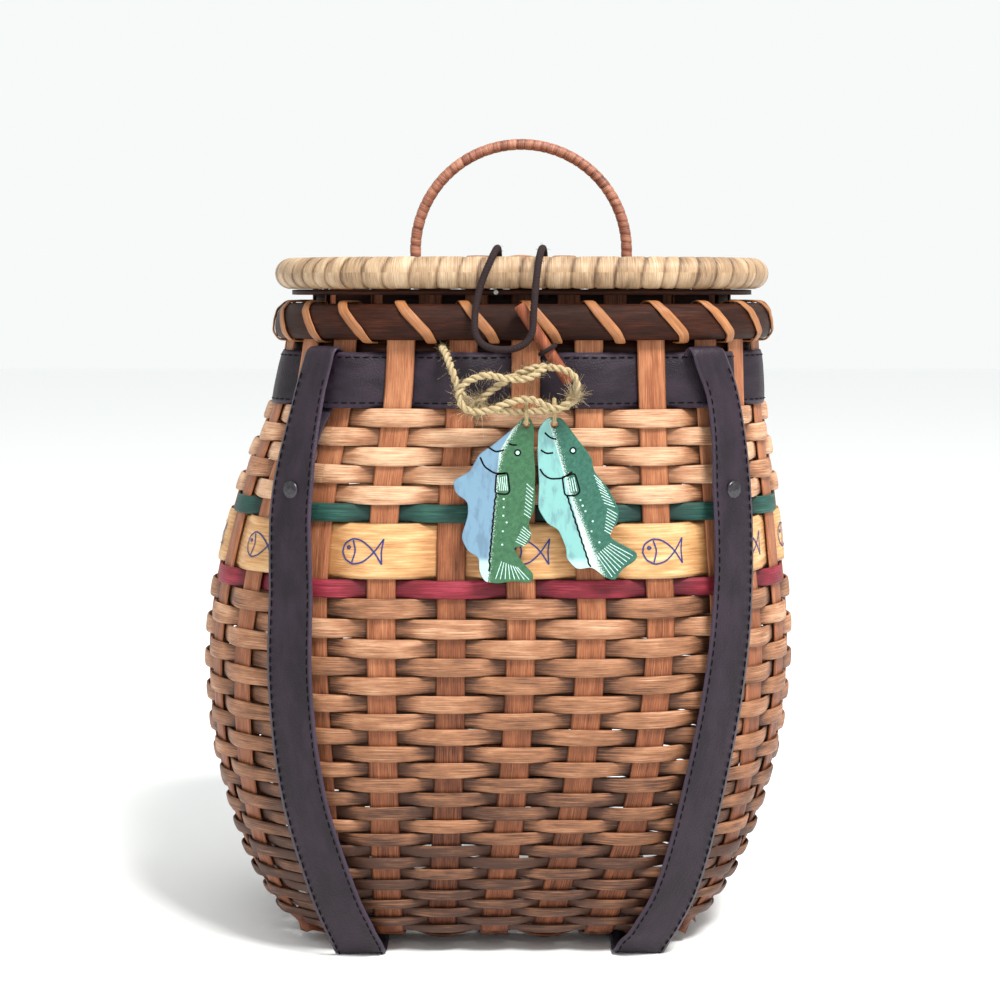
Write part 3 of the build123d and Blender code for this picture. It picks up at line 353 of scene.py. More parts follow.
class Paint:
    """One material's tree: coordinates, textures and the shader."""

    def __init__(self, name, use_uv=True):
        self.material = bpy.data.materials.new(name)
        self.material.use_nodes = True
        self.tree = self.material.node_tree
        self.shader = self.tree.nodes["Principled BSDF"]
        node = self.tree.nodes.new("ShaderNodeTexCoord")
        split = self.tree.nodes.new("ShaderNodeSeparateXYZ")
        self.tree.links.new(node.outputs["UV" if use_uv else "Object"], split.inputs[0])
        self.x, self.y, self.z = (Wire(self.tree, split.outputs[k]) for k in range(3))

    def point(self, x, y, z=0.0):
        """A vector from three wires or numbers."""
        node = self.tree.nodes.new("ShaderNodeCombineXYZ")
        for k, value in enumerate((x, y, z)):
            plug(self.tree, node.inputs[k], value)
        return Wire(self.tree, node.outputs[0])

    def noise(self, vector, detail=3.0, rough=0.55):
        """Fractal noise of a vector that is already scaled, about 0.5 in the middle."""
        node = self.tree.nodes.new("ShaderNodeTexNoise")
        plug(self.tree, node.inputs["Vector"], vector)
        for key, value in (("Scale", 1.0), ("Detail", detail), ("Roughness", rough)):
            node.inputs[key].default_value = value
        return Wire(self.tree, node.outputs[0])

    def cells(self, vector):
        """Distance to the nearest of scattered points, for dots and pores."""
        node = self.tree.nodes.new("ShaderNodeTexVoronoi")
        plug(self.tree, node.inputs["Vector"], vector)
        node.inputs["Scale"].default_value = 1.0
        return Wire(self.tree, node.outputs["Distance"])

    def attribute(self, name):
        """A float attribute of the mesh."""
        node = self.tree.nodes.new("ShaderNodeAttribute")
        node.attribute_name = name
        return Wire(self.tree, node.outputs["Fac"])

    def mix(self, share, a, b):
        """Colour a where share is 0 and b where it is 1."""
        node = self.tree.nodes.new("ShaderNodeMix")
        node.data_type = "RGBA"
        plug(self.tree, node.inputs[0], share)
        plug(self.tree, node.inputs[6], a)
        plug(self.tree, node.inputs[7], b)
        return Wire(self.tree, node.outputs[2])

    def ramp(self, share, *stops):
        """Colours at places from 0 to 1."""
        node = self.tree.nodes.new("ShaderNodeValToRGB")
        plug(self.tree, node.inputs[0], share)
        bar = node.color_ramp.elements
        while len(bar) < len(stops):
            bar.new(0.5)
        for element, (place, colour) in zip(bar, stops):
            element.position = place
            element.color = (*colour, 1)
        return Wire(self.tree, node.outputs[0])

    def bump(self, height, distance, strength=1.0):
        """Normal from a height of 0 to 1 that stands for distance metres."""
        node = self.tree.nodes.new("ShaderNodeBump")
        plug(self.tree, node.inputs["Height"], height)
        node.inputs["Distance"].default_value = distance
        node.inputs["Strength"].default_value = strength
        return Wire(self.tree, node.outputs[0])

    def finish(self, colour, rough, normal=None, **values):
        """Fills the shader's sockets and gives the material."""
        plug(self.tree, self.shader.inputs["Base Color"], colour)
        plug(self.tree, self.shader.inputs["Roughness"], rough)
        if normal is not None:
            plug(self.tree, self.shader.inputs["Normal"], normal)
        for key, value in values.items():
            self.shader.inputs[key.replace("_", " ")].default_value = value
        return self.material


def srgb(r, g, b):
    """Linear colour from 0-255 screen values."""
    c = np.array([r, g, b]) / 255
    return tuple(float(x) for x in np.where(c <= 0.04045, c / 12.92, ((c + 0.055) / 1.055)**2.4))


def reed(name, dark, middle, light, lines=0.5, rough=0.55, gloss=0.3, blotch=0.35, use_uv=True, across=5.0):
    """Split reed or splint: fine streaks along the fibre, slow blotches and raised fibre lines.

    streaks = noise(0.6 / cm along, across / mm), blotches = noise(0.7 / cm along, 2.5 / cm across).
    """
    dark, middle, light = (srgb(*colour) for colour in (dark, middle, light))
    paint = Paint(name, use_uv)
    if use_uv:
        u, v = paint.x * 100, paint.y * 100
    else:
        u, v = (paint.z + paint.y) * 1000, paint.x * 1000
    streaks = paint.noise(paint.point(u * 0.06, v * across), 5, 0.65)
    fine = paint.noise(paint.point(u * 0.12, v * across * 3.1, 4.7), 2, 0.5)
    patches = paint.noise(paint.point(u * 0.07, v * 0.25, 9.1), 3, 0.6)
    share = streaks * 1.5 - 0.25 + (patches - 0.5) * blotch * 2 + paint.attribute("tone")
    colour = paint.ramp(share, (0.12, dark), (0.5, middle), (0.86, light))
    deep = paint.mix(fine.above(0.62, 0.72) * lines, colour, tuple(0.45 * c for c in dark))
    height = streaks * 0.7 + fine * 0.3
    return paint.finish(deep, fine * 0.25 + (rough - 0.1), paint.bump(height, 0.0004, 0.55),
                        Specular_IOR_Level=gloss)


def leather(name, base, worn, edge):
    """Smooth dark leather: pebbled grain, slow shade, scuffs and edges that have gone lighter or darker."""
    base, worn, edge = (srgb(*colour) for colour in (base, worn, edge))
    paint = Paint(name)
    u, v = paint.x * 100, paint.y * 100
    pebble = paint.cells(paint.point(u * 1.6, v * 1.6))
    grain = paint.noise(paint.point(u * 2.4, v * 2.4, 1.0), 4, 0.6)
    slow = paint.noise(paint.point(u * 0.05, v * 0.12, 2.0), 3, 0.6)
    scuff = paint.noise(paint.point(u * 0.5, v * 0.9, 5.0), 5, 0.75).above(0.66, 0.78)
    colour = paint.mix(slow.above(0.3, 0.72), base, worn)
    colour = paint.mix(scuff * 0.35, colour, edge)
    colour = paint.mix(paint.attribute("tone") * 0.5, colour, edge)
    height = grain * 0.6 + pebble * 0.4
    return paint.finish(colour, slow * 0.2 + grain * 0.15 + 0.27, paint.bump(height, 0.00045, 0.7),
                        Specular_IOR_Level=0.22)


def plain(name, colour, rough, metal=0.0, gloss=0.5):
    """A small piece's finish: slight shade and fine unevenness, about 1 mm in size, over one colour."""
    paint = Paint(name, use_uv=False)
    grain = paint.noise(paint.point(paint.x * 900.0, paint.y * 900.0, paint.z * 900.0), 3, 0.6)
    colour = srgb(*colour)
    darker, lighter = tuple(0.72 * c for c in colour), tuple(min(1.2 * c, 1) for c in colour)
    shade = paint.mix(grain.above(0.35, 0.7), darker, lighter)
    return paint.finish(shade, grain * 0.2 + (rough - 0.1), paint.bump(grain, 0.0001, 0.6), Metallic=metal,
                        Specular_IOR_Level=gloss)


stake_reed = reed("stake_reed", (62, 28, 16), (142, 84, 54), (190, 132, 94), 0.7, 0.5, 0.25, 0.3)
weave_reed = reed("weave_reed", (64, 38, 26), (156, 106, 74), (216, 176, 142), 0.9, 0.5, 0.3, 0.35)
red_reed = reed("red_reed", (62, 8, 18), (116, 22, 38), (172, 62, 80), 0.5, 0.5, 0.3, 0.3)
green_reed = reed("green_reed", (10, 36, 32), (24, 66, 58), (62, 110, 96), 0.5, 0.5, 0.3, 0.3)
veneer = reed("veneer", (160, 110, 66), (196, 150, 100), (220, 182, 136), 0.2, 0.5, 0.35, 0.5, across=1.2)
# near-black wood: partly the rim's own dark wood, partly painted shade under the lid's hoop; also the painted
# shade of the lid's under hoop and the dark fills inside
rim_wood = reed("rim_wood", (14, 6, 4), (40, 17, 9), (80, 40, 24), 0.8, 0.45, 0.12, 0.25)
lash_reed = reed("lash_reed", (92, 50, 26), (148, 94, 54), (192, 138, 92), 0.5, 0.45, 0.4, 0.25)
straw = reed("straw", (84, 60, 40), (164, 134, 102), (208, 186, 156), 0.9, 0.42, 0.4, 0.35)
handle_reed = reed("handle_reed", (86, 44, 32), (148, 94, 72), (188, 138, 112), 0.5, 0.45, 0.4, 0.3)
loop_reed = reed("loop_reed", (92, 50, 26), (148, 94, 54), (192, 138, 92), 0.4, 0.45, 0.4, 0.2, False)
peg_wood = reed("peg_wood", (70, 28, 14), (122, 62, 38), (160, 96, 64), 0.4, 0.5, 0.3, 0.2, False, 2.0)
hide = leather("hide", (24, 17, 25), (42, 31, 42), (88, 74, 92))
thread = plain("thread", (8, 6, 9), 0.8, gloss=0.08)
rivet_metal = plain("rivet_metal", (70, 68, 72), 0.35, 0.9)
tack_metal = plain("tack_metal", (150, 148, 145), 0.25, 1.0)
ink_blue = plain("ink_blue", (22, 40, 108), 0.5)
ink_black = plain("ink_black", (6, 7, 10), 0.6, gloss=0.1)
paint_white = plain("paint_white", (180, 212, 204), 0.5)

# ---------------------------------------------------------------- splints: up the walls and through the mat


def splint(face, place):
    """One splint: z(s) = wall down the far side, mat height + BASE_WAVE cos(pi k) at crossing k, wall up."""
    far, near = (face + 2) * 8 + 6 - place, face * 8 + place
    z = np.linspace(RIM_TOP - 0.4, 9.5, 120)
    down, down_across, _ = wall(z, arc_of(z, np.full(len(z), float(far))))
    up, up_across, _ = wall(z[::-1], arc_of(z[::-1], np.full(len(z), float(near))))
    low = np.array([MAT_MIDDLE])
    start = wall(low, arc_of(low, np.array([float(far)])))[0][0]
    end = wall(low, arc_of(low, np.array([float(near)])))[0][0]
    share = np.linspace(0.035, 0.965, 70)[:, None]
    mat = start + (end - start) * share
    pitch = smooth(SIDE_PITCH if face == 0 else FRONT_PITCH, MAT_MIDDLE)
    travel = (share[:, 0] - 0.5) * np.linalg.norm(end - start) / pitch
    sign = -1 if (3 + place + face) % 2 else 1
    mat[:, 2] += BASE_WAVE * sign * np.cos(np.pi * travel) * np.clip((3.6 - np.abs(travel)) / 0.6, 0, 1)
    heading = unit(end - start)
    side = np.cross(heading, [0, 0, 1])
    points = np.concatenate([down, mat, up])
    across = np.concatenate([-down_across, np.repeat(side[None], len(mat), 0), up_across])
    points, across = resample(points, 1.5, across)
    points, across = soften(points, 6), soften(across, 10)
    tone = rng.normal(0, 0.05) + 0.05 * ripple(np.linspace(0, 1, len(points)), 1)
    # darker towards the base: partly the splint's own colour, partly painted shade on the lower wall and
    # under the base
    tone = tone + 0.08 - 0.35 * (1 - np.clip(points[:, 2] / 190, 0, 1))
    return sweep(points, across, SPLINT_WIDTH / 2, SPLINT_THICK, 0.1, rng.uniform(0, 9), tone, 14)


for face, name in ((0, "splints_lengthwise"), (1, "splints_crosswise")):
    build(f"woven_{name}", [splint(face, k) for k in range(7)], stake_reed, "basket", [name])

# ---------------------------------------------------------------- woven rounds


def round_offsets(parity, reach, v, fixed=None):
    """Stand-off at vertex coordinates v: +-reach at the stakes, 0 at corners, eased with flat crests."""
    stakes = np.array([k % 8 != 7 for k in range(32)])
    number = np.cumsum(stakes) - 1
    values = np.where(stakes, np.where((number + parity) % 2 == 0, 1, -1) * reach, 0.0)
    for k, value in (fixed or {}).items():
        values[k] = value
    k = np.floor(v).astype(int) % 32
    t = v - np.floor(v)
    t = np.clip((t - 0.08) / 0.84, 0, 1)
    ease = t * t * (3 - 2 * t)
    return values[k] * (1 - ease) + values[(k + 1) % 32] * ease


def woven(low, high, parity, thick, reach, wobble=0.22, fixed=None, wide=0.0, tone=0.0, crown=0.15):
    """One round: its middle follows the wall at stand-off d(v), and its edges the wall's own slope."""
    v = np.arange(320) / 10
    d = round_offsets(parity, reach, v, fixed)
    shift = wobble * ripple(v, 32, 7)
    spread = wide * np.abs(d) / reach - wide / 2
    z_low, z_high = low + shift - spread, high + shift + spread
    p_low = wall(z_low, arc_of(z_low, v))[0]
    p_high = wall(z_high, arc_of(z_high, v))[0]
    middle = (z_low + z_high) / 2
    _, _, normal = wall(middle, arc_of(middle, v))
    half = (p_high - p_low) / 2
    lean = np.linalg.norm(half, axis=1) / ((z_high - z_low) / 2)
    centre = (p_low + p_high) / 2 + normal * ((d + 0.12 * ripple(v, 32, 9)) * lean)[:, None]
    tangent = np.roll(centre, -1, 0) - np.roll(centre, 1, 0)
    up = unit(np.cross(tangent, half))
    w, t = flat_section(thick, crown)
    p = centre[:, None] + half[:, None] * w[None, :, None] + up[:, None] * t[None, :, None]
    uv = strip_uv(along(centre, True), w, (high - low) / 2, rng.uniform(0, 9))
    # painted shade: each round is darker where it passes behind a stake and towards the crossings, standing
    # for the shade in the weave's crevices
    behind = np.clip(0.3 - d / reach, 0, 1.3)
    return grid(p, uv, (True, True), tone + 0.07 * ripple(v, 32, 6) - 0.28 * behind)


def row_tone(z):
    """Rounds are redder and darker towards the base, partly the reed's own colour and partly painted shade on
    the lower wall, and each round has a tone of its own at random.
    """
    return 0.16 - 0.6 * (1 - min(z / 190, 1))**1.3 + rng.normal(0, 0.05)


for name, rows in (("weavers_foot", range(0, 12)), ("weavers_belly", range(12, RED)),
                   ("weavers_upper", range(GREEN + 1, BAND))):
    rounds = [woven(edges[k] + 0.1, edges[k + 1] - 0.1, k % 2, 1.35, 1.75, 0.25, wide=0.25,
                    tone=row_tone(edges[k])) for k in rows]
    build(f"reed_{name}", rounds, weave_reed, "basket", [name])
for k, colour, material in ((RED, "red", red_reed), (GREEN, "green", green_reed)):
    build(f"{colour}_round", [woven(edges[k] + 0.1, edges[k + 1] - 0.1, 0, 1.2, 1.7)], material, "basket",
          [f"weaver_{colour}"])
PRINTED_REACH, BAND_REACH = 1.5, 2.0
printed_low, printed_high = edges[PRINTED] + 0.2, edges[PRINTED + 1] - 0.2
build("printed_round", [woven(printed_low, printed_high, 1, 0.9, PRINTED_REACH, 0.1, crown=0.0)], veneer,
      "basket", ["weaver_printed"])

# stand-off of the band at the corners and stakes where a strap's tail runs behind it
band_relief = {0: 4.2, 6: 4.2, 7: 3.6, 31: 3.6}
band_low, band_high = edges[BAND] + 0.2, edges[BAND + 1] - 0.2


def worn(g, half):
    """The strip with its tone set for leather: 1 at its long edges, gone within a millimetre or so."""
    w, _ = flat_section(1.0)
    g["tone"] = np.broadcast_to(np.abs(w)[None, :]**(half * 2), g["p"].shape[:2])
    return g


band = woven(band_low, band_high, 0, 1.5, BAND_REACH, 0.05, band_relief, crown=0.25)
build("hide_band", [worn(band, 10)], hide, "basket", ["leather_band"])

# ---------------------------------------------------------------- ink lines: ribbons laid on a surface


def ink(lines, place, width):
    """Ribbons along polylines (n, 2) in a surface's own coordinates; place turns them into points."""
    grids = []
    for line in lines:
        line = np.array(line, float)
        if len(line) > 2:
            line = soften(resample(np.c_[line, np.zeros(len(line))], 0.6)[0], 3)[:, :2]
        direction = tangents(line)
        side = np.stack([-direction[:, 1], direction[:, 0]], 1) * width / 2
        points = np.stack([place(line - side), place(line), place(line + side)], 1)
        grids.append(grid(points, np.zeros((*points.shape[:2], 2)), (False, False)))
    return grids


def disc(middle, radius, place, count=14):
    """A filled dot as a fan of two rings."""
    turn = np.linspace(0, 2 * np.pi, count + 1)
    rings = [place(np.array(middle) + radius * share * np.stack([np.cos(turn), np.sin(turn)], 1))
             for share in (0.02, 0.5, 1)]
    points = np.stack(rings, 1)
    return grid(points, np.zeros((*points.shape[:2], 2)), (False, False))


def circle(middle, radius, count=18):
    """Points once round a circle."""
    turn = np.linspace(0, 2 * np.pi, count + 1)
    return np.array(middle) + radius * np.stack([np.cos(turn), np.sin(turn)], 1)


def on_printed(stake, shift, lift=0.62):
    """Place on the printed round: x mm along from a stake, y mm up from the round's middle."""
    middle = (edges[PRINTED] + edges[PRINTED + 1]) / 2

    def place(xy):
        z = middle + xy[:, 1]
        arcs = vertex_arcs(z)
        arc = arcs[:, stake] + xy[:, 0] + shift
        index = np.array([np.interp(a, row, np.arange(33)) for a, row in zip(arc, arcs)])
        d = round_offsets(1, PRINTED_REACH, index) + lift
        return stood_off(z, arc, d)[0]

    return place


FISH = [
    [(-7.6, -0.4), (-7.0, 2.6), (-3.8, 4.6), (-0.4, 4.0), (2.6, 1.8), (4.6, -0.4), (7.2, -4.6)],
    [(-7.6, -0.4), (-6.6, -3.0), (-3.4, -4.8), (0.4, -3.8), (3.2, -1.4), (4.9, 0.6), (7.6, 4.6)],
    [(7.6, 4.6), (6.9, 0.2), (7.2, -4.6)],
    [(-3.6, 3.9), (-2.5, 0.2), (-3.8, -4.0)],
]
fish_lines = []
for stake, shift in ((1, -7), (3, 3), (5, 1.5), (8, 0), (10, -3), (12, 2), (14, 0), (17, -3), (19, 2),
                     (21, 0), (24, -2), (26, 3), (28, -1), (30, 2)):
    place = on_printed(stake, shift)
    fish_lines += ink(FISH + [circle((-5.3, 1.3), 0.8)], place, 0.55)
build("printed_fish", fish_lines, ink_blue, "basket")

# ---------------------------------------------------------------- stitches: short raised threads


def stitches(points, across, normal, inset, length=2.1, pitch=3.4, thick=0.42):
    """Threads along a line at inset from it, each a small bar bowed into the leather at its ends."""
    s = along(points)
    count = int(s[-1] / pitch)
    bars = []
    for k in range(count):
        at = np.linspace(k * pitch + 0.5, k * pitch + 0.5 + length, 5)
        p, a, n = (np.stack([np.interp(at, s, q[:, c]) for c in range(3)], 1)
                   for q in (points, across, normal))
        bow = thick * 0.5 * (1 - ((at - at.mean()) / (length / 2))**2) - thick * 0.35
        p = p + unit(a) * inset + unit(n) * bow[:, None]
        bars.append(sweep(p, a, thick / 2, thick, 0, 0, 0, 2))
    return bars


# ---------------------------------------------------------------- rim splints and their lashing


def rim_ring(profile, count=420):
    """A hoop whose section points (stand-off, height) follow the wall's own outline."""
    share = np.arange(count) / count
    p = np.stack([stood_off(z, share * 4 * quarter(z), d)[0] for d, z in profile], 1)
    uv = net_uv(along(p[:, 0], True), np.arange(len(profile) + 1) * 0.02)
    return grid(p, uv, (True, True), 0.06 * ripple(share, 1, 7))


rim_foot = SPLINT_THICK / 2 + 0.95
rim_middle, rim_half = (RIM_BOTTOM + RIM_TOP) / 2, (RIM_TOP - RIM_BOTTOM) / 2
turns = np.linspace(-np.pi / 2, np.pi / 2, 13)
# the rim hoops' near-black colour is partly painted shade under the lid's hoop
for side, full, name in ((1, 4.4, "rim_outer"), (-1, 3.6, "rim_inner")):
    profile = [(side * (rim_foot + full * np.cos(a)**0.7), rim_middle + rim_half * np.sin(a))
               for a in turns[1:-1]]
    profile += [(side * rim_foot, z) for z in (RIM_TOP - 0.2, rim_middle, RIM_BOTTOM + 0.2)]
    build(f"bent_{name}", [rim_ring(profile)], rim_wood, "basket", [name])


def lashing():
    """The spiral strip: over the outer hoop slanting by 11 mm, in through a gap, up inside and on.

    It goes once through each of the 24 gaps furthest from the back's middle, a turn at most 22 mm wide.
    """
    turns_kept, widest = 24, 22
    q = quarter(RIM_BOTTOM)
    arcs = vertex_arcs(RIM_BOTTOM)[0]
    stakes = np.array([arcs[k] for k in range(32) if k % 8 != 7] + [arcs[0] + 4 * q])
    gaps = (stakes[1:] + stakes[:-1]) / 2
    kept = sorted(gaps, key=lambda gap: -abs(gap - 2 * q))[:turns_kept]
    kept = sorted(gap if gap > 2 * q else gap + 4 * q for gap in kept)
    stand = 0.75

    def beside_hoop(side, shoulder, crest):
        """The strip's way down one side of the rim, as (stand-off, height), clear of the hoop."""
        edge, bulge = side * (rim_foot + 1.9), side * (rim_foot + shoulder + stand * 0.6)
        return [(edge, RIM_TOP + stand - 0.1), (bulge, RIM_TOP - 2.6),
                (side * (rim_foot + crest + stand * 0.75), rim_middle),
                (bulge, RIM_BOTTOM + 2.6), (edge, RIM_BOTTOM - stand + 0.1)]

    outer, inner = beside_hoop(1, 4.2, 4.4), beside_hoop(-1, 3.4, 3.6)[::-1]
    points, across = [], []
    for k, gap in enumerate(kept):
        lead_in = min(gap - (kept[k - 1] if k else gap - widest), widest) / 2
        lead_out = min((kept[k + 1] if k + 1 < len(kept) else gap + widest) - gap, widest) / 2
        face = np.rint(gap / q)
        stops = [*zip(gap - lead_in * np.array([1.1, 0.85, 0.5, 0.15, 0]), outer),
                 *zip(gap + lead_out * np.array([0, 0.2, 0.5, 0.8, 0.9]), inner)]
        for arc, (d, height) in stops:
            p, tangent = stood_off([height], [arc + face * (quarter(height) - q)], d)
            points.append(p[0])
            across.append(tangent[0])
    points, across = resample(np.array(points), 0.8, np.array(across))
    points = soften(points, 3)
    return sweep(points, across, 1.9, 0.8, 0.1, 3.0, 0.05 * ripple(np.linspace(0, 1, len(points)), 1, 9), 8)


# painted shade: a near-black band inside the wall below the rim, standing for the shaded inside seen through
# the gaps between band and rim
shade_band_out = -rim_foot - 0.4
shade_band_in = shade_band_out - 0.8
shade_band_low, shade_band_high = RIM_BOTTOM - 9.0, RIM_BOTTOM + 1
profile = [(shade_band_in, shade_band_low), (shade_band_in, shade_band_high),
           (shade_band_out, shade_band_high), (shade_band_out, shade_band_low)]
build("rim_painted_shade_band", [rim_ring(profile)], rim_wood, "basket")

build("reed_lashing", [lashing()], lash_reed, "basket", ["rim_lashing"])

# ---------------------------------------------------------------- lid: bound hoop, inner hoop and woven top


def lid_line(stand, z, count):
    """Points, tangents and normals once round the lid at a stand-off from its hoop's middle."""
    a, b, r = LID_HALF_WIDTH + stand, LID_HALF_DEPTH + stand, LID_CORNER + stand
    share = np.arange(count) / count
    return rounded(a, b, r, LID_SHIFT, z, share * 4 * (a + b - r * (2 - np.pi / 2)))


def lid_section(profile, count):
    """Points (count, section, 3) of a hoop of the lid from its section's (stand-off, height) points."""
    return np.stack([lid_line(stand, z, count)[0] for stand, z in profile], 1)


def wraps(points, out, up, radii, width, depth, slant, closed, around=22):
    """A wound tube: r = R + depth (ridge - 1), with ridge = 1 - |2 t - 1|^7 + (t - 0.5) / 4 over each turn.

    Where a turn of strip starts slants with the angle a round the tube, by slant cos(a + 0.6).
    """
    s = along(points, closed)
    total = s[-1]
    s = s[:len(points)]
    bounds = [0.0]
    while bounds[-1] < total - width:
        bounds.append(bounds[-1] + width * rng.uniform(0.75, 1.45))
    bounds[-1] = total
    bounds = np.array(bounds)
    shade = rng.normal(0, 0.07, len(bounds) + 1)
    angle = np.arange(around) / around * 2 * np.pi
    where = s[:, None] + slant * np.cos(angle + 0.6)[None, :]
    where = where % total if closed else np.clip(where, 0, total)
    k = np.clip(np.searchsorted(bounds, where, side="right") - 1, 0, len(bounds) - 2)
    t = (where - bounds[k]) / (bounds[k + 1] - bounds[k])
    ridge = 1 - np.abs(2 * t - 1)**7 + 0.25 * (t - 0.5)
    grow = depth * (ridge - 1)
    r_out, r_up = radii
    p = (points[:, None] + out[:, None] * ((r_out + grow) * np.cos(angle)[None, :])[..., None]
         + up[:, None] * ((r_up + grow) * np.sin(angle)[None, :])[..., None])
    turn = np.arange(around + 1) / around * 2 * np.pi * (r_out + r_up) / 200
    lengths = np.append(s, total) / 100 if closed else s / 100
    uv = np.stack(np.broadcast_arrays(turn[None, :], lengths[:, None]), -1)
    g = grid(p, uv, (closed, True))
    # painted shade: darker in the grooves between turns, over a tone of each turn's own at random
    g["tone"] = shade[k] - 0.35 * (1 - np.clip(ridge, 0, 1))**0.8
    return g


count = 2400
hoop, _, hoop_out = lid_line(0, HOOP_MIDDLE, count)
hoop_up = np.zeros_like(hoop) + [0, 0, 1]
bound = wraps(hoop, hoop_out, hoop_up, (5.9, 5.9), 6.8, 0.5, 1.6, True)
build("bound_hoop", [bound], straw, "lid", ["lid_hoop"])

under = [(-0.6, 247.0), (-0.6, 248.8), (-3.0, 249.0), (-6.3, 248.8), (-6.3, 247.0), (-3.0, 246.9)]
ring = lid_section(under, 1440)
lengths = along(ring[:, 0], True)[:-1]
notch = HINGE_WIDTH / 2 + HINGE_THICK
from_hinge = np.abs(np.abs(ring[..., 0] - LID_SHIFT) - HINGE_SPACING / 2)
in_notch = ((ring[..., 1] > 0) & (from_hinge < notch)).any(1)
turned = np.roll(np.arange(len(ring)), -int(np.argmax(in_notch)))
runs = np.split(turned, np.flatnonzero(np.diff(in_notch[turned].astype(int))) + 1)
arcs = [grid(ring[run], net_uv(lengths[run], np.arange(len(under) + 1) * 0.02), (False, True))
        for run in runs if not in_notch[run[0]]]
# painted shade: the under hoop is near-black for the shade in its recess
build("lid_under_hoop", arcs, rim_wood, "lid", ["lid_inner_hoop"])

inner_width, inner_depth, inner_corner = (size - LID_HOOP_INSIDE
                                          for size in (LID_HALF_WIDTH, LID_HALF_DEPTH, LID_CORNER))


def lid_reach(place, half_across, half_reach):
    """How far a strip at a place may run inside the hoop's rounded corner."""
    into = abs(place) + LID_STRIP_HALF - (half_across - inner_corner)
    return half_reach if into <= 0 else half_reach - inner_corner + (inner_corner**2 - into**2)**0.5


def lid_strip(place, first, reach, low_reach, parity, lengthwise):
    """A strip of the lid, above the hoop's middle by LID_DOME (1 - x^2) (1 - y^2) plus a wave over and under.

    In the dome x and y go from -1 to 1. The wave is LID_WAVE c (1.15 - 0.15 c^2), where
    c = cos(pi (at - first) / pitch), turned over for every other strip.
    """
    at = np.linspace(-low_reach, reach, 90)
    x, y = (np.full(90, place), at) if lengthwise else (at, np.full(90, place))
    dome = LID_DOME * np.maximum(1 - (x / inner_width)**2, 0) * np.maximum(1 - (y / inner_depth)**2, 0)
    wave = np.cos(np.pi * ((at - first) / LID_PITCH + parity))
    z = HOOP_MIDDLE + dome + LID_WAVE * wave * (1.15 - 0.15 * wave**2)
    across = np.repeat([[1.0, 0, 0] if lengthwise else [0.0, -1, 0]], 90, 0)
    points = np.stack([LID_SHIFT + x, y, z], 1)
    return sweep(points, across, LID_STRIP_HALF, 1.0, 0.1, rng.uniform(0, 9), rng.normal(0, 0.06), 10)


def tucked(x, y, outwards):
    """A strip's end, turned down inside the lid's hoop: an arc of 90 degrees, then straight down."""
    bend = 3.0
    turn = np.linspace(0, np.pi / 2, 6)
    reach = np.concatenate([bend * np.sin(turn), [bend, bend]])
    drop = np.concatenate([bend * (1 - np.cos(turn)), [8.0, rng.uniform(10.0, 13.0)]])
    outwards = np.array(outwards, float)
    points = np.array([LID_SHIFT + x, y, HOOP_MIDDLE - 0.6]) + outwards * reach[:, None]
    points = points - [0, 0, 1] * drop[:, None]
    across = np.repeat(np.cross(outwards, [0, 0, 1.0])[None], len(points), 0)
    points, across = resample(points, 0.8, across)
    # painted shade: the ends are darkened for the shade inside the lid's hoop
    return sweep(points, across, 4.3, 0.8, 0.1, rng.uniform(0, 9), rng.normal(-0.2, 0.08), 10)


stake_places = (np.arange(9) - 4) * LID_PITCH
weaver_places = (np.arange(8) - 3.5) * LID_PITCH
strips = []
for k, place in enumerate(stake_places):
    reach = lid_reach(place, inner_width, inner_depth)
    near_loop = abs(abs(place) - HINGE_SPACING / 2) < HINGE_WIDTH
    strips.append(lid_strip(place, weaver_places[0], reach - (3.4 if near_loop else 0), reach, k, True))
build("woven_lid_stakes", strips, stake_reed, "lid", ["lid_stakes"])
strips = [lid_strip(place, stake_places[0], *[lid_reach(place, inner_depth, inner_width)] * 2, k + 1, False)
          for k, place in enumerate(weaver_places)]
short = 5.4
ends = [tucked(place, sign * (lid_reach(place, inner_width, inner_depth) - short), (0, sign, 0))
        for place in stake_places for sign in (-1, 1)]
ends += [tucked(sign * (lid_reach(place, inner_depth, inner_width) - short), place, (sign, 0, 0))
         for place in weaver_places for sign in (-1, 1)]
build("tucked_ends", ends, stake_reed, "lid")
# painted shade: a near-black ring inside the lid's hoop, darkened further, standing for the shaded inside
# seen between lid and rim
shade_ring_profile = [(-9.6, 239.8), (-9.6, 248.6), (-10.2, 248.9), (-10.6, 248.6), (-10.6, 239.8), (-10.2, 239.5)]
ring = lid_section(shade_ring_profile, 360)
uv = net_uv(along(ring[:, 0], True), np.arange(len(shade_ring_profile) + 1) * 0.03)
build("lid_painted_shade_ring", [grid(ring, uv, (True, True), -0.2)], rim_wood, "lid")
build("woven_lid_weavers", strips, weave_reed, "lid", ["lid_weavers"])

# ---------------------------------------------------------------- bail handle, wound with fine reed

radius, spring, foot = 42.1, 264.6, 255.0
turn = np.linspace(0, np.pi, 240)
arch = np.concatenate([
    np.stack([np.full(24, -radius), np.linspace(foot, spring, 24, endpoint=False)], 1),
    np.stack([-radius * np.cos(turn), spring + radius * np.sin(turn)], 1),
    np.stack([np.full(24, radius), np.linspace(spring, foot, 25)[1:]], 1)])
arch = np.stack([LID_SHIFT + arch[:, 0], np.zeros(len(arch)), arch[:, 1]], 1)
arch = resample(arch, 0.45)[0]
tangent = tangents(arch)
sideways = np.zeros_like(arch) + [0, 1.0, 0]
build("wound_handle", [wraps(arch, np.cross(sideways, tangent), sideways, (2.2, 2.6), 3.1, 0.28, 0.5, False,
                             around=16)], handle_reed, "lid", ["handle"])

# ---------------------------------------------------------------- straps with their stitches and rivets

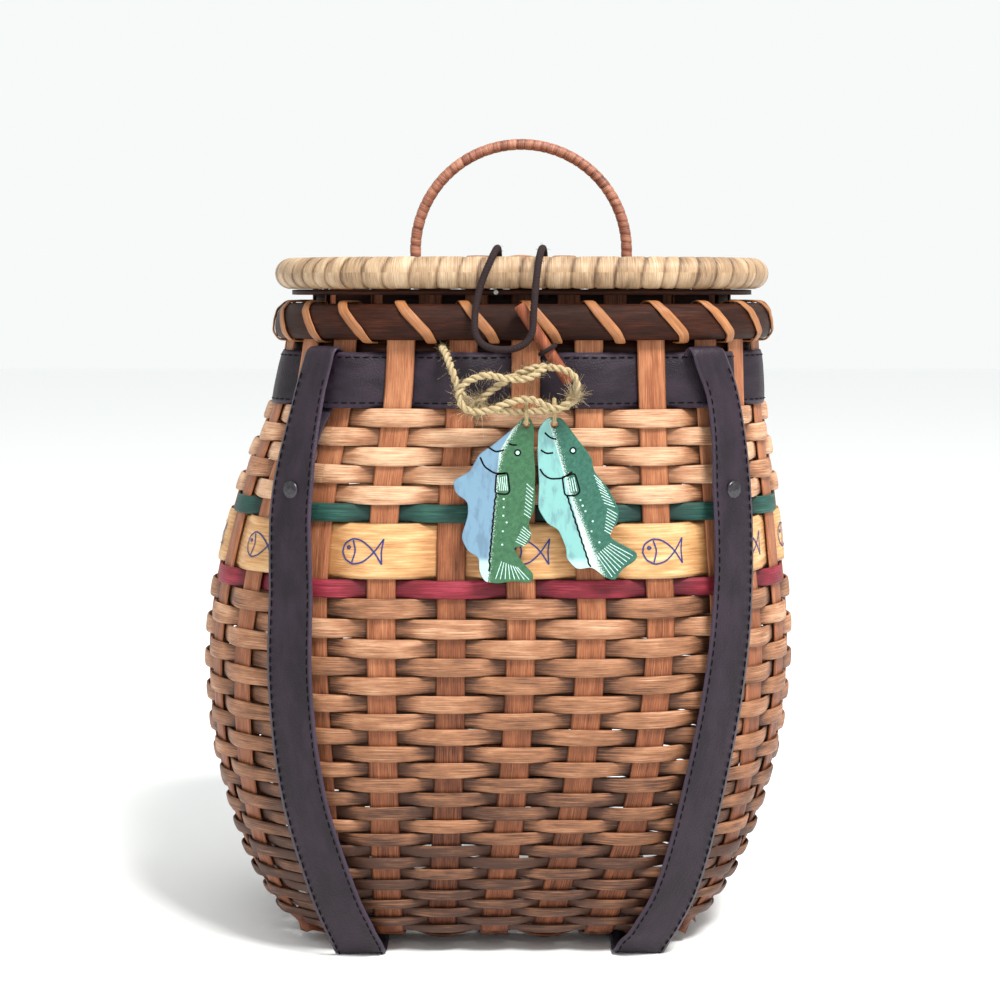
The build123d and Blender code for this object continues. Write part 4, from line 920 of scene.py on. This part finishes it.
# a strap's middle on the front, as (height, x)
LEFT_STRAP = [(3, -52), (28, -60), (66, -69.5), (105, -73.5), (138, -73), (172, -71.5), (209, -65.5),
              (228, -61)]
RIGHT_STRAP = [(3, 51.5), (28, 62.5), (66, 71.5), (105, 78.5), (138, 81.5), (172, 80), (209, 77.3),
               (228, 71.5)]
STRAP_HALF, STRAP_TOP_HALF, STRAP_THICK = 9.5, 7.2, 1.8
UNDER_COUNT, UNDER_MIDDLE, UNDER_END = 30, 0.95, 47
STITCH_INSET = 1.7


def lean_factor(z):
    """Length of the wall's slope per millimetre of height."""
    low = np.maximum(z - 4.0, 3)
    return np.hypot(1, (smooth(HALF_WIDTH, low + 8) - smooth(HALF_WIDTH, low)) / 8)


def arc_at(z, x):
    """Arc length from the front's middle of the wall point at x."""
    radius = smooth(CORNER_RADIUS, z)
    straight = smooth(HALF_WIDTH, z) - radius
    aside = np.abs(x - smooth(LEAN, z))
    bent = straight + radius * np.arcsin(np.clip((aside - straight) / radius, 0, 1))
    return np.sign(x - smooth(LEAN, z)) * np.where(aside > straight, bent, aside)


def off_wall(z, arc, d):
    """Points standing off the wall by d measured square to its slope, and the tangents there."""
    z, arc, d = (np.atleast_1d(np.asarray(a, float)) for a in (z, arc, d))
    return stood_off(z, arc, d * lean_factor(z))


def strap(side, keys, name):
    """Tail up behind the band, over its top, down the front on its own stand-off and under the base."""
    def tail_arc(z):
        table = vertex_arcs(z)
        stake = table[:, 6] if side > 0 else table[:, 0]
        beyond = table[:, 8] if side > 0 else table[:, 30] - 4 * quarter(z)
        return stake * 0.75 + beyond * 0.25

    z_tail = np.concatenate([np.linspace(166, 198.6, 12), np.linspace(201, 225.4, 14)])
    down = arc_at(z_tail, smooth(keys, z_tail))
    share = np.interp(z_tail, [166, 188, 198.6, 207, 225], [0, 0.6, 1, 1, 0])
    arcs = down * (1 - share) + tail_arc(z_tail) * share
    d_tail = np.interp(z_tail, [166, 198.6, 205.5, 226], [5.8, 5.8, 1.9, 2.0])
    tail, tail_across = off_wall(z_tail, arcs, d_tail)
    z_front = np.concatenate([np.linspace(225.4, 166, 24), np.linspace(163, 9, 60)])
    d_front = np.interp(z_front, [9, 137, 166, 188, 205, 225], [6.3, 6.3, 8.1, 8.1, 7.6, 7.2])
    front, front_across = off_wall(z_front, arc_at(z_front, smooth(keys, z_front)), d_front)
    fold_arc = np.repeat(arc_at(226.3, smooth(keys, 226.3)), 5)
    fold, fold_across = off_wall([226.9, 227.6, 227.9, 227.6, 226.7], fold_arc, [2.6, 3.6, 4.8, 6.0, 7.0])
    x = smooth(keys, 3)
    y_turn = front[-1][1] + 5.0
    under = np.stack([np.full(UNDER_COUNT, x), np.linspace(y_turn, UNDER_END, UNDER_COUNT),
                      np.full(UNDER_COUNT, UNDER_MIDDLE)], 1)
    points = np.concatenate([tail, fold, front, under])
    across = np.concatenate([tail_across, fold_across, front_across,
                             np.repeat([[1.0, 0, 0]], UNDER_COUNT, 0)])
    half = np.concatenate([np.interp(z_tail, [166, 176, 206, 224], [2.6, 4.4, 4.5, 6.9]),
                           np.full(len(fold), STRAP_TOP_HALF),
                           np.interp(z_front, [178, 200, 225], [STRAP_HALF, 8.4, STRAP_TOP_HALF]),
                           np.full(UNDER_COUNT, STRAP_HALF)])
    thick = np.concatenate([np.full(len(tail), 1.2), np.linspace(1.3, STRAP_THICK, len(fold)),
                            np.full(len(front) + UNDER_COUNT, STRAP_THICK)])
    points, across, sizes = resample(points, 1.2, across, np.stack([half, thick], 1))
    points, across = soften(points, 3), soften(across, 6)
    g = worn(sweep(points, across, sizes[:, 0], sizes[:, 1], 0.25, 0.0, 0.0, 8), 9)
    build(f"{name}_leather", [g], hide, "basket", [name])
    tangent = tangents(points)
    across = squared(across, tangent)
    normal = np.cross(tangent, across)
    first_stitch, last_stitch = 0.19, 0.78
    shown = slice(int(len(points) * first_stitch), int(len(points) * last_stitch))
    p = points[shown] + normal[shown] * 0.8
    rows = []
    for edge in (-1, 1):
        inset = p + across[shown] * (edge * (sizes[shown, :1] - STITCH_INSET))
        rows += stitches(inset, across[shown], normal[shown], 0.0)
    build(f"{name}_stitches", rows, thread, "basket")


def lathe(centre, axis, profile, around=28):
    """A turned form: profile points (radius, height) about an axis through centre."""
    axis = unit(np.asarray(axis, float))
    side = unit(np.cross(axis, [0.0, 0.3, 1.0]))
    other = np.cross(axis, side)
    turn = np.arange(around) / around * 2 * np.pi
    r, h = np.array(profile, float).T
    p = (np.asarray(centre)[None, None] + axis * h[:, None, None]
         + (side * np.cos(turn)[:, None] + other * np.sin(turn)[:, None])[None] * r[:, None, None])
    return grid(p, np.zeros((len(r), around + 1, 2)), (False, True))


RIVET_HEIGHT = 176.0
# a rivet's cap and shank, as (radius, height)
RIVET = [(0.05, 1.5), (1.2, 1.45), (2.0, 1.25), (2.35, 0.95), (2.6, 0.95), (3.1, 0.7), (3.35, 0.3),
         (3.35, -0.1), (1.2, -0.1), (1.2, -3.6)]
for side, keys, label in ((-1, LEFT_STRAP, "left"), (1, RIGHT_STRAP, "right")):
    strap(side, keys, f"{label}_strap")
    z = np.array([RIVET_HEIGHT])
    arc = arc_at(z, smooth(keys, z))
    at, _ = off_wall(z, arc, 8.0)
    _, _, normal = wall(z, arc)
    cap = lathe(at[0] + normal[0] * 0.9, normal[0], RIVET)
    build(f"{label}_rivet", [cap], rivet_metal, "basket", [f"{label}_strap_rivet"])

band_v = np.arange(0, 32, 0.02)
for edge, name in ((band_low + 1.9, "lower"), (band_high - 1.9, "upper")):
    z = np.full(len(band_v), edge)
    d = round_offsets(0, BAND_REACH, band_v, band_relief)
    line = stood_off(z, arc_of(z, band_v), d)[0]
    facing = unit(np.cross(tangents(line), [0.0, 0, 1.0]))
    line = line + facing * 0.62
    upright = np.zeros_like(line) + [0, 0, 1.0]
    build(f"band_stitches_{name}", stitches(line, upright, facing, 0.0), thread, "basket")

# ---------------------------------------------------------------- cords


def meshed(curve):
    """The mesh of a curve."""
    holder = bpy.data.objects.new(curve.name, curve)
    bpy.context.scene.collection.objects.link(holder)
    mesh = bpy.data.meshes.new_from_object(holder)
    bpy.data.objects.remove(holder)
    return mesh


def spline(route):
    """Points in mm along the NURBS curve of order 3 whose control points are the route's."""
    curve = bpy.data.curves.new("route", "CURVE")
    curve.dimensions = "3D"
    line = curve.splines.new("NURBS")
    line.points.add(len(route) - 1)
    for point, place in zip(line.points, route):
        point.co = (*(c * MM for c in place), 1)
    line.order_u = 3
    line.use_endpoint_u = True
    line.resolution_u = 24
    mesh = meshed(curve)
    points = np.array([v.co for v in mesh.vertices]) / MM
    bpy.data.meshes.remove(mesh)
    return resample(points, 0.3)[0]


def frames(points):
    """Tangents and two vectors square to them, carried along without twist."""
    tangent = tangents(points)
    side = np.empty_like(points)
    side[0] = unit(np.cross(tangent[0], [0.3, 0.5, 0.8]))
    for k in range(1, len(points)):
        side[k] = unit(side[k - 1] - tangent[k] * (side[k - 1] @ tangent[k]))
    return tangent, side, np.cross(tangent, side)


def tube(points, radius, around=10, ridge=0.0, pitch=1.0, starts=1, lane=0.0, tone=0.0):
    """A cord's skin: r(s, a) = radius (1 + ridge cos(starts a - 2 pi s / pitch))."""
    _, side, other = frames(points)
    s = along(points)
    angle = np.arange(around) / around * 2 * np.pi
    r = radius * (1 + ridge * np.cos(starts * angle[None, :] - 2 * np.pi * s[:, None] / pitch))
    p = points[:, None] + r[..., None] * (side[:, None] * np.cos(angle)[None, :, None]
                                          + other[:, None] * np.sin(angle)[None, :, None])
    return grid(p, net_uv(s, np.arange(around + 1) * radius * 0.0063 + lane), (False, True), tone)


def hairs(points, radius, count, reach, thick, curl=0.6, drift=(0, 0, 0)):
    """Loose fibres: thin bent three-sided threads leaving a cord at random places, leaning by the drift."""
    tangent, side, other = frames(points)
    out = []
    for _ in range(count):
        k = rng.integers(1, len(points) - 1)
        a = rng.uniform(0, 2 * np.pi)
        away = side[k] * np.cos(a) + other[k] * np.sin(a)
        length = reach * rng.uniform(0.4, 1.3)
        t = np.linspace(0, 1, 5)[:, None]
        lean = unit(away + tangent[k] * rng.normal(0, 0.9) + drift)
        bend = rng.normal(0, curl, 3) * length * 0.5
        path = points[k] + away * radius * 0.7 + lean * length * t + bend * t**2
        out.append(tube(path, thick, 3, tone=rng.normal(0, 0.1)))
    return out


LATCH_ROUTE = [(-0.1, -66.5, 245.5), (-0.3, -66.5, 263.9), (-1.5, -84.5, 263.9), (-9.0, -85.6, 246),
               (-9.2, -90.5, 227.4), (11.6, -91.2, 227.4), (12.2, -90.6, 246.5), (14.5, -84.5, 263.9),
               (16.6, -66.5, 263.9), (16.7, -66.5, 245.5)]
TWINE_ROUTE = [(-21.5, -73, 228.2), (-19, -91.5, 227.2), (-13.5, -91, 205.2), (28, -91, 205.2),
               (27.5, -92.5, 221), (6, -94, 221.8), (-8, -95, 208.5)]
BOW_ROUTE = [(16.7, -93.8, 221.2), (12, -97.4, 217.5), (4, -97.9, 216.5), (-4, -97.9, 219),
             (-11.5, -97.9, 217.5), (-15.5, -97.9, 211.5), (-12.5, -97.9, 205.8), (-5, -97.9, 205),
             (2, -97.9, 208.6), (9.5, -97.9, 211), (16, -97.9, 207.6), (22.5, -97.9, 206.4),
             (26.5, -97.8, 211.5)]

cord_paint = Paint("cord_paint")
weft = cord_paint.noise(cord_paint.point(cord_paint.x * 250, cord_paint.y * 400), 3, 0.6)
cord_colour = cord_paint.mix(weft.above(0.35, 0.7), srgb(18, 11, 13), srgb(58, 43, 44))
dark_cord = cord_paint.finish(cord_colour, 0.85, cord_paint.bump(weft, 0.0002, 0.7), Specular_IOR_Level=0.2)
jute_paint = Paint("jute_paint")
fibre = jute_paint.noise(jute_paint.point(jute_paint.x * 30, jute_paint.y * 500), 4, 0.65)
jute_colour = jute_paint.ramp(fibre + jute_paint.attribute("tone"), (0.25, srgb(112, 90, 58)),
                              (0.5, srgb(176, 156, 118)), (0.75, srgb(212, 198, 166)))
jute = jute_paint.finish(jute_colour, 0.8, jute_paint.bump(fibre, 0.0003, 0.7), Specular_IOR_Level=0.3)


latch = spline(LATCH_ROUTE)
latch_piece = build("latch_loop", [tube(latch, 1.28, 14, 0.07, 1.1, 1)], dark_cord, "lid",
                    ["latch_cord"])
fuzz = build("latch_fuzz", hairs(latch, 1.2, 320, 1.3, 0.035), dark_cord, "lid")
along(latch)[-1] * MM


def twisted(line, fringe, reach, name, node):
    """Two strands wound round a line, r = 0.66 mm at a 6 mm pitch, with loose fibres.

    The line wavers by about 0.25 mm and its last end comes apart into a short tassel.
    """
    tangent, side, other = frames(line)
    share = np.linspace(0, 1, len(line))
    waver = 0.25 * (side * ripple(share, 1, 14)[:, None] + other * ripple(share, 1, 11)[:, None])
    phase = 2 * np.pi * along(line)[:, None] / 6.0
    strands = []
    for start in (0.0, np.pi):
        aside = side * np.cos(phase + start) + other * np.sin(phase + start)
        strands.append(tube(line + waver + 0.66 * aside, 0.72, 10, 0.14, 2.1, 3, start, 0.0))
    cord = build(f"{name}_strands", strands, jute, "basket", node)
    loose = hairs(line, 1.0, 1100, 1.5, 0.03, 1.6)
    tassel = hairs(line[-fringe:], 0.8, 260, reach, 0.05, 1.1, tangent[-1] * 2.2)
    fray = build(f"{name}_fray", loose + tassel, jute, "basket")
    along(line)[-1] * MM


twisted(spline(TWINE_ROUTE), 16, 5.5, "twine", ["twine_bow"])
twisted(spline(BOW_ROUTE), 12, 3.4, "bow", [])

# ---------------------------------------------------------------- painted fish tags

LEFT_FISH = [(8.2, 203.2), (11, 203.2), (12.4, 199), (12, 192), (12.6, 185), (12.4, 170), (10, 165),
             (11.5, 160), (9, 157), (4.5, 156.5), (8, 151), (12.4, 146.5), (11, 143.5), (4.5, 144.5),
             (0, 143.5), (-5.5, 144), (-7.5, 148), (-7.5, 153), (-11.5, 155), (-14, 160), (-11.5, 168),
             (-11.5, 173), (-16, 176), (-17, 180.5), (-11, 183.5), (-7.5, 190), (-3, 193), (5.5, 200)]
RIGHT_FISH = [(17, 203.3), (22, 203.2), (28.5, 194.5), (33, 188.5), (33.5, 184), (39, 177.5), (42.5, 170.5),
              (42.5, 166), (39, 161.5), (40, 159.5), (49.5, 154.5), (49, 152), (43.5, 148.5), (41.5, 144.5),
              (38, 145.5), (33, 149.5), (27.5, 148.5), (23.5, 153), (24, 155.5), (21, 163), (17, 165),
              (13.6, 170.5), (14, 179.5), (13.4, 190), (13.6, 199)]
TAG_MIDDLE, TAG_FRONT = -91.0, -92.1


def tag_paint(name, belly, back, dark, edge, band):
    """Painted wood: belly one side of the edge line, back the other, a speckled white band where they meet.

    The band reaches from the edge line to band(z) + 9 (speck - 0.5) mm beside it.
    """
    belly, back, dark = (srgb(*colour) for colour in (belly, back, dark))
    paint = Paint(name, use_uv=False)
    x, z = paint.x * 1000, paint.z * 1000
    speck = paint.noise(paint.point(x * 2.1, z * 2.1), 2, 0.95)
    brush = paint.noise(paint.point(x * 0.5 + z * 0.35, z * 0.5 - x * 0.35), 4, 0.6)
    shade = paint.noise(paint.point(x * 0.3 + z * 0.04, z * 0.1 - x * 0.1, 3.0), 3, 0.6)
    scratch = paint.noise(paint.point((x + z) * 0.25, (z - x) * 3.4, 6.0), 3, 0.7)
    beside = x - edge(z)
    green = paint.mix(brush.above(0.35, 0.65), dark, back)
    green = paint.mix(scratch.above(0.58, 0.7) * 0.5, green, srgb(112, 150, 122))
    pale = paint.mix(shade.above(0.46, 0.66) * 0.45, belly, srgb(74, 92, 112))
    pale = paint.mix((153.5 - z).above(0, 3.0) * 0.8, pale, srgb(176, 206, 206))
    white = ((speck - 0.5) * 9.0 + band(z) - beside).above(0, 0.3) * (beside + 0.3).above(0, 0.25) * 0.92
    colour = paint.mix(white, paint.mix(beside.above(-0.1, 0.1), pale, green), srgb(186, 206, 198))
    return paint.finish(colour, brush * 0.15 + 0.36, paint.bump(brush, 0.0002, 0.4), Specular_IOR_Level=0.4)


def left_edge(z):
    """x = -0.1 - 0.093 (190.7 - z), bending right above z = 190.7."""
    return (z - 190.7) * 0.093 - 0.1 + (z - 190.7).math("MAXIMUM", 0.0) * 0.48


def right_edge(z):
    """x = 18.5 + 0.285 (198.7 - z)."""
    return (198.7 - z) * 0.285 + 18.5


def left_band(z):
    """The left tag's white band: 0.1 mm wide, 0.9 mm by the mouth."""
    return (z - 184.0).above(0, 6.0) * 0.8 + 0.1


def right_band(z):
    """The right tag's white band: 0.6 mm wide, growing by 0.11 mm for each mm below z = 177."""
    return (177.0 - z).math("MAXIMUM", 0.0) * 0.11 + 0.6


def tag(outline, eye, material, name, body):
    """A flat shape from a closed outline, softened and with rounded edges, on the tag's plane."""
    line = np.array(outline + outline[:1], float)
    line = resample(np.c_[line, np.zeros(len(line))], 0.8)[0][:-1]
    for _ in range(4):
        line = (np.roll(line, 1, 0) + 2 * line + np.roll(line, -1, 0)) / 4
    hole = circle((eye[0], eye[1] - 4.4), 1.4, 20)[:-1]
    curve = bpy.data.curves.new("tag", "CURVE")
    curve.dimensions = "2D"
    curve.fill_mode = "BOTH"
    for points in (line[:, :2], hole):
        path = curve.splines.new("POLY")
        path.points.add(len(points) - 1)
        path.use_cyclic_u = True
        for point, place in zip(path.points, points):
            point.co = (place[0] * MM, place[1] * MM, 0, 1)
    rounding = 0.3 * MM
    curve.extrude = 0.8 * MM
    curve.bevel_depth = rounding
    curve.bevel_resolution = 3
    curve.offset = -rounding
    mesh = meshed(curve)
    co = np.array([v.co for v in mesh.vertices])
    mesh.vertices.foreach_set("co", np.stack([co[:, 0], -co[:, 2] + TAG_MIDDLE * MM, co[:, 1]], 1).ravel())
    mesh.update()
    mesh.materials.clear()
    mesh.materials.append(material)
    add_piece(f"{name}_painted", mesh, body, [name])


def on_tag(xy):
    """Places marks just in front of a tag's face."""
    return np.stack([xy[:, 0], np.full(len(xy), TAG_FRONT - 0.05), xy[:, 1]], 1)


def on_top(xy):
    """Places marks over other marks."""
    return on_tag(xy) - [0, 0.04, 0]


def rays(groups):
    """Fine lines, in groups of (start, end, first tip, last tip, count), from start-end to tip-tip."""
    lines = []
    for start, end, first_tip, last_tip, count in groups:
        share = np.linspace(0, 1, count)[:, None]
        roots = np.array(start) + (np.array(end) - start) * share
        tips = np.array(first_tip) + (np.array(last_tip) - first_tip) * share
        lines += [[a, (a + b) / 2, b] for a, b in zip(roots, tips)]
    return lines


left_dark = [
    [(-7.1, 189), (-5.6, 185.6), (-2, 183.2), (2, 183.1)],
    [(-1.3, 182.7), (2.7, 183.6), (3.6, 176.4), (2.4, 175.6), (-1.8, 176), (-1.3, 182.7)],
    [(-1.5, 175.8)] + [(-1.7 - 0.11 * k + 0.5 * (-1)**k, 174.6 - 1.2 * k) for k in range(21)] + [(-4, 148)],
    [(-4, 192.5), (-1.5, 190.8), (1.5, 191.6)], [(3, 194), (4.5, 193.2), (6, 193.4)]]
left_light = rays([((0, 177), (2.6, 177), (-0.6, 181.6), (2.2, 182.4), 5),
                   ((9.6, 179.4), (8.6, 168.8), (12.0, 177.2), (10.9, 167.2), 9),
                   ((8.2, 164.1), (5.6, 158.8), (11.2, 161.4), (8.8, 157.2), 7),
                   ((0.6, 151.5), (6.2, 149.4), (-1.6, 145.2), (10.4, 145), 8)])
right_dark = [
    [(14.3, 184.8), (15.6, 182.6), (18, 181.2), (22.3, 181.4), (25.9, 183.8)],
    [(22.3, 181.8), (26.8, 183.3), (28.8, 176.4), (27, 175.2), (23.2, 175.2), (22.3, 181.8)],
    [(23.9, 175)] + [(24.4 + 0.39 * k + 0.5 * (-1)**k, 174 - 1.2 * k) for k in range(20)] + [(32.6, 149.6)],
    [(14.6, 191.6), (16.6, 190.2), (19, 190.6)], [(16, 197.8), (17.8, 196), (20, 195.4)]]
right_light = rays([((24, 176.6), (27.4, 176.8), (23.4, 180.6), (26.4, 181.8), 5),
                    ((33.6, 182.6), (37.2, 172.6), (36.4, 180), (41.2, 171.2), 9),
                    ((38.4, 170.6), (37.4, 162.8), (42.1, 168.4), (39.8, 161.4), 8),
                    ((34.6, 154), (39.4, 158), (40.2, 146), (47.6, 153.6), 8)])
for name, body, material, outline, eye, spot, dark, light, dots in (
        ("left_tag", "left_fish", tag_paint("left_fish_paint", (104, 136, 158), (52, 98, 64), (38, 82, 54),
                                            left_edge, left_band),
         LEFT_FISH, (9.4, 205.2), (6.3, 190.6), left_dark, left_light,
         [(1.3, 174), (1.3, 171), (1.2, 168), (2.4, 165.6), (1.0, 162.4), (0.8, 157.6)]),
        ("right_tag", "right_fish", tag_paint("right_fish_paint", (116, 168, 164), (42, 94, 78), (28, 78, 64),
                                              right_edge, right_band),
         RIGHT_FISH, (19.4, 205.2), (26.1, 191.4), right_dark, right_light,
         [(28.8, 173.6), (29.6, 171.6), (30.6, 169.6), (33.2, 166), (32.8, 162.4), (35.6, 158.4)])):
    tag(outline, eye, material, name, body)
    marks = ink(dark, on_tag, 0.62) + [disc(spot, 1.3, on_tag)]
    build(f"{name}_lines", marks, ink_black, body)
    marks = ink(light, on_tag, 0.3) + [disc(spot, 0.72, on_top)] + [disc(dot, 0.36, on_tag) for dot in dots]
    build(f"{name}_lights", marks, paint_white, body)

# ---------------------------------------------------------------- finishes of the CAD nodes that stay

cad_jute = plain("cad_jute", (168, 146, 106), 0.85)
cad_cord = plain("cad_cord", (34, 24, 26), 0.85, gloss=0.2)
for material, nodes in ((loop_reed, ("hinge_loop_left", "hinge_loop_right")),
                        (peg_wood, ("handle_pegs", "toggle_peg")),
                        (rivet_metal, ("left_base_rivets", "right_base_rivets")),
                        (tack_metal, ("cord_tack",)),
                        (cad_jute, ("left_tag_ring", "right_tag_ring")),
                        (cad_cord, ("toggle_wrap", "toggle_cord"))):
    for node in nodes:
        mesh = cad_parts[node].data
        mesh.materials.clear()
        mesh.materials.append(material)

# ---------------------------------------------------------------- floor, light and camera

scene = bpy.context.scene
floor_mesh = bpy.data.meshes.new("floor")
floor_mesh.from_pydata([(-6, -6, 0), (6, -6, 0), (6, 6, 0), (-6, 6, 0)], [], [(0, 1, 2, 3)])
floor_object = bpy.data.objects.new("floor", floor_mesh)
scene.collection.objects.link(floor_object)
floor_paint = Paint("floor_paint", use_uv=False)
floor_mesh.materials.append(floor_paint.finish((0.95, 0.955, 0.955), 0.8, Specular_IOR_Level=0.2))

world = bpy.data.worlds.new("world")
scene.world = world
world.use_nodes = True
world.node_tree.nodes["Background"].inputs[0].default_value = (0.93, 0.955, 0.945, 1)
world.node_tree.nodes["Background"].inputs[1].default_value = 1.0
scene.view_settings.view_transform = "Standard"


def area(name, place, target, size, watts, colour):
    """A square area light turned to a target, all in metres."""
    lamp = bpy.data.lights.new(name, "AREA")
    lamp.energy, lamp.size, lamp.color = watts, size, colour
    holder = bpy.data.objects.new(name, lamp)
    holder.location = place
    direction = np.array(target) - place
    yaw = np.arctan2(direction[1], direction[0]) - np.pi / 2
    pitch = np.arctan2(direction[2], np.hypot(direction[0], direction[1])) + np.pi / 2
    holder.rotation_euler = (pitch, 0, yaw)
    scene.collection.objects.link(holder)


area("key", (0.5, -0.85, 1.5), (0.0, 0.0, 0.18), 0.42, 44, (1.0, 0.985, 0.96))

# focal length, and the horizon's height above the picture's middle, both in pixels of a square picture
TILT = np.radians(2.8)
FOCUS, HORIZON, PICTURE, SENSOR = 2125.0, 208, 1000, 36
camera = bpy.data.cameras.new("camera")
camera.lens = FOCUS * SENSOR / PICTURE
camera.sensor_width = SENSOR
camera.shift_y = -(HORIZON - FOCUS * float(np.tan(TILT))) / PICTURE
camera.clip_start = 0.01
holder = bpy.data.objects.new("camera", camera)
holder.location = (0, -0.85, 0.248)
holder.rotation_euler = (np.pi / 2 - TILT, 0, 0)
scene.collection.objects.link(holder)
scene.camera = holder

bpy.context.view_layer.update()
for name, count in reports:
    print("piece", name, count)
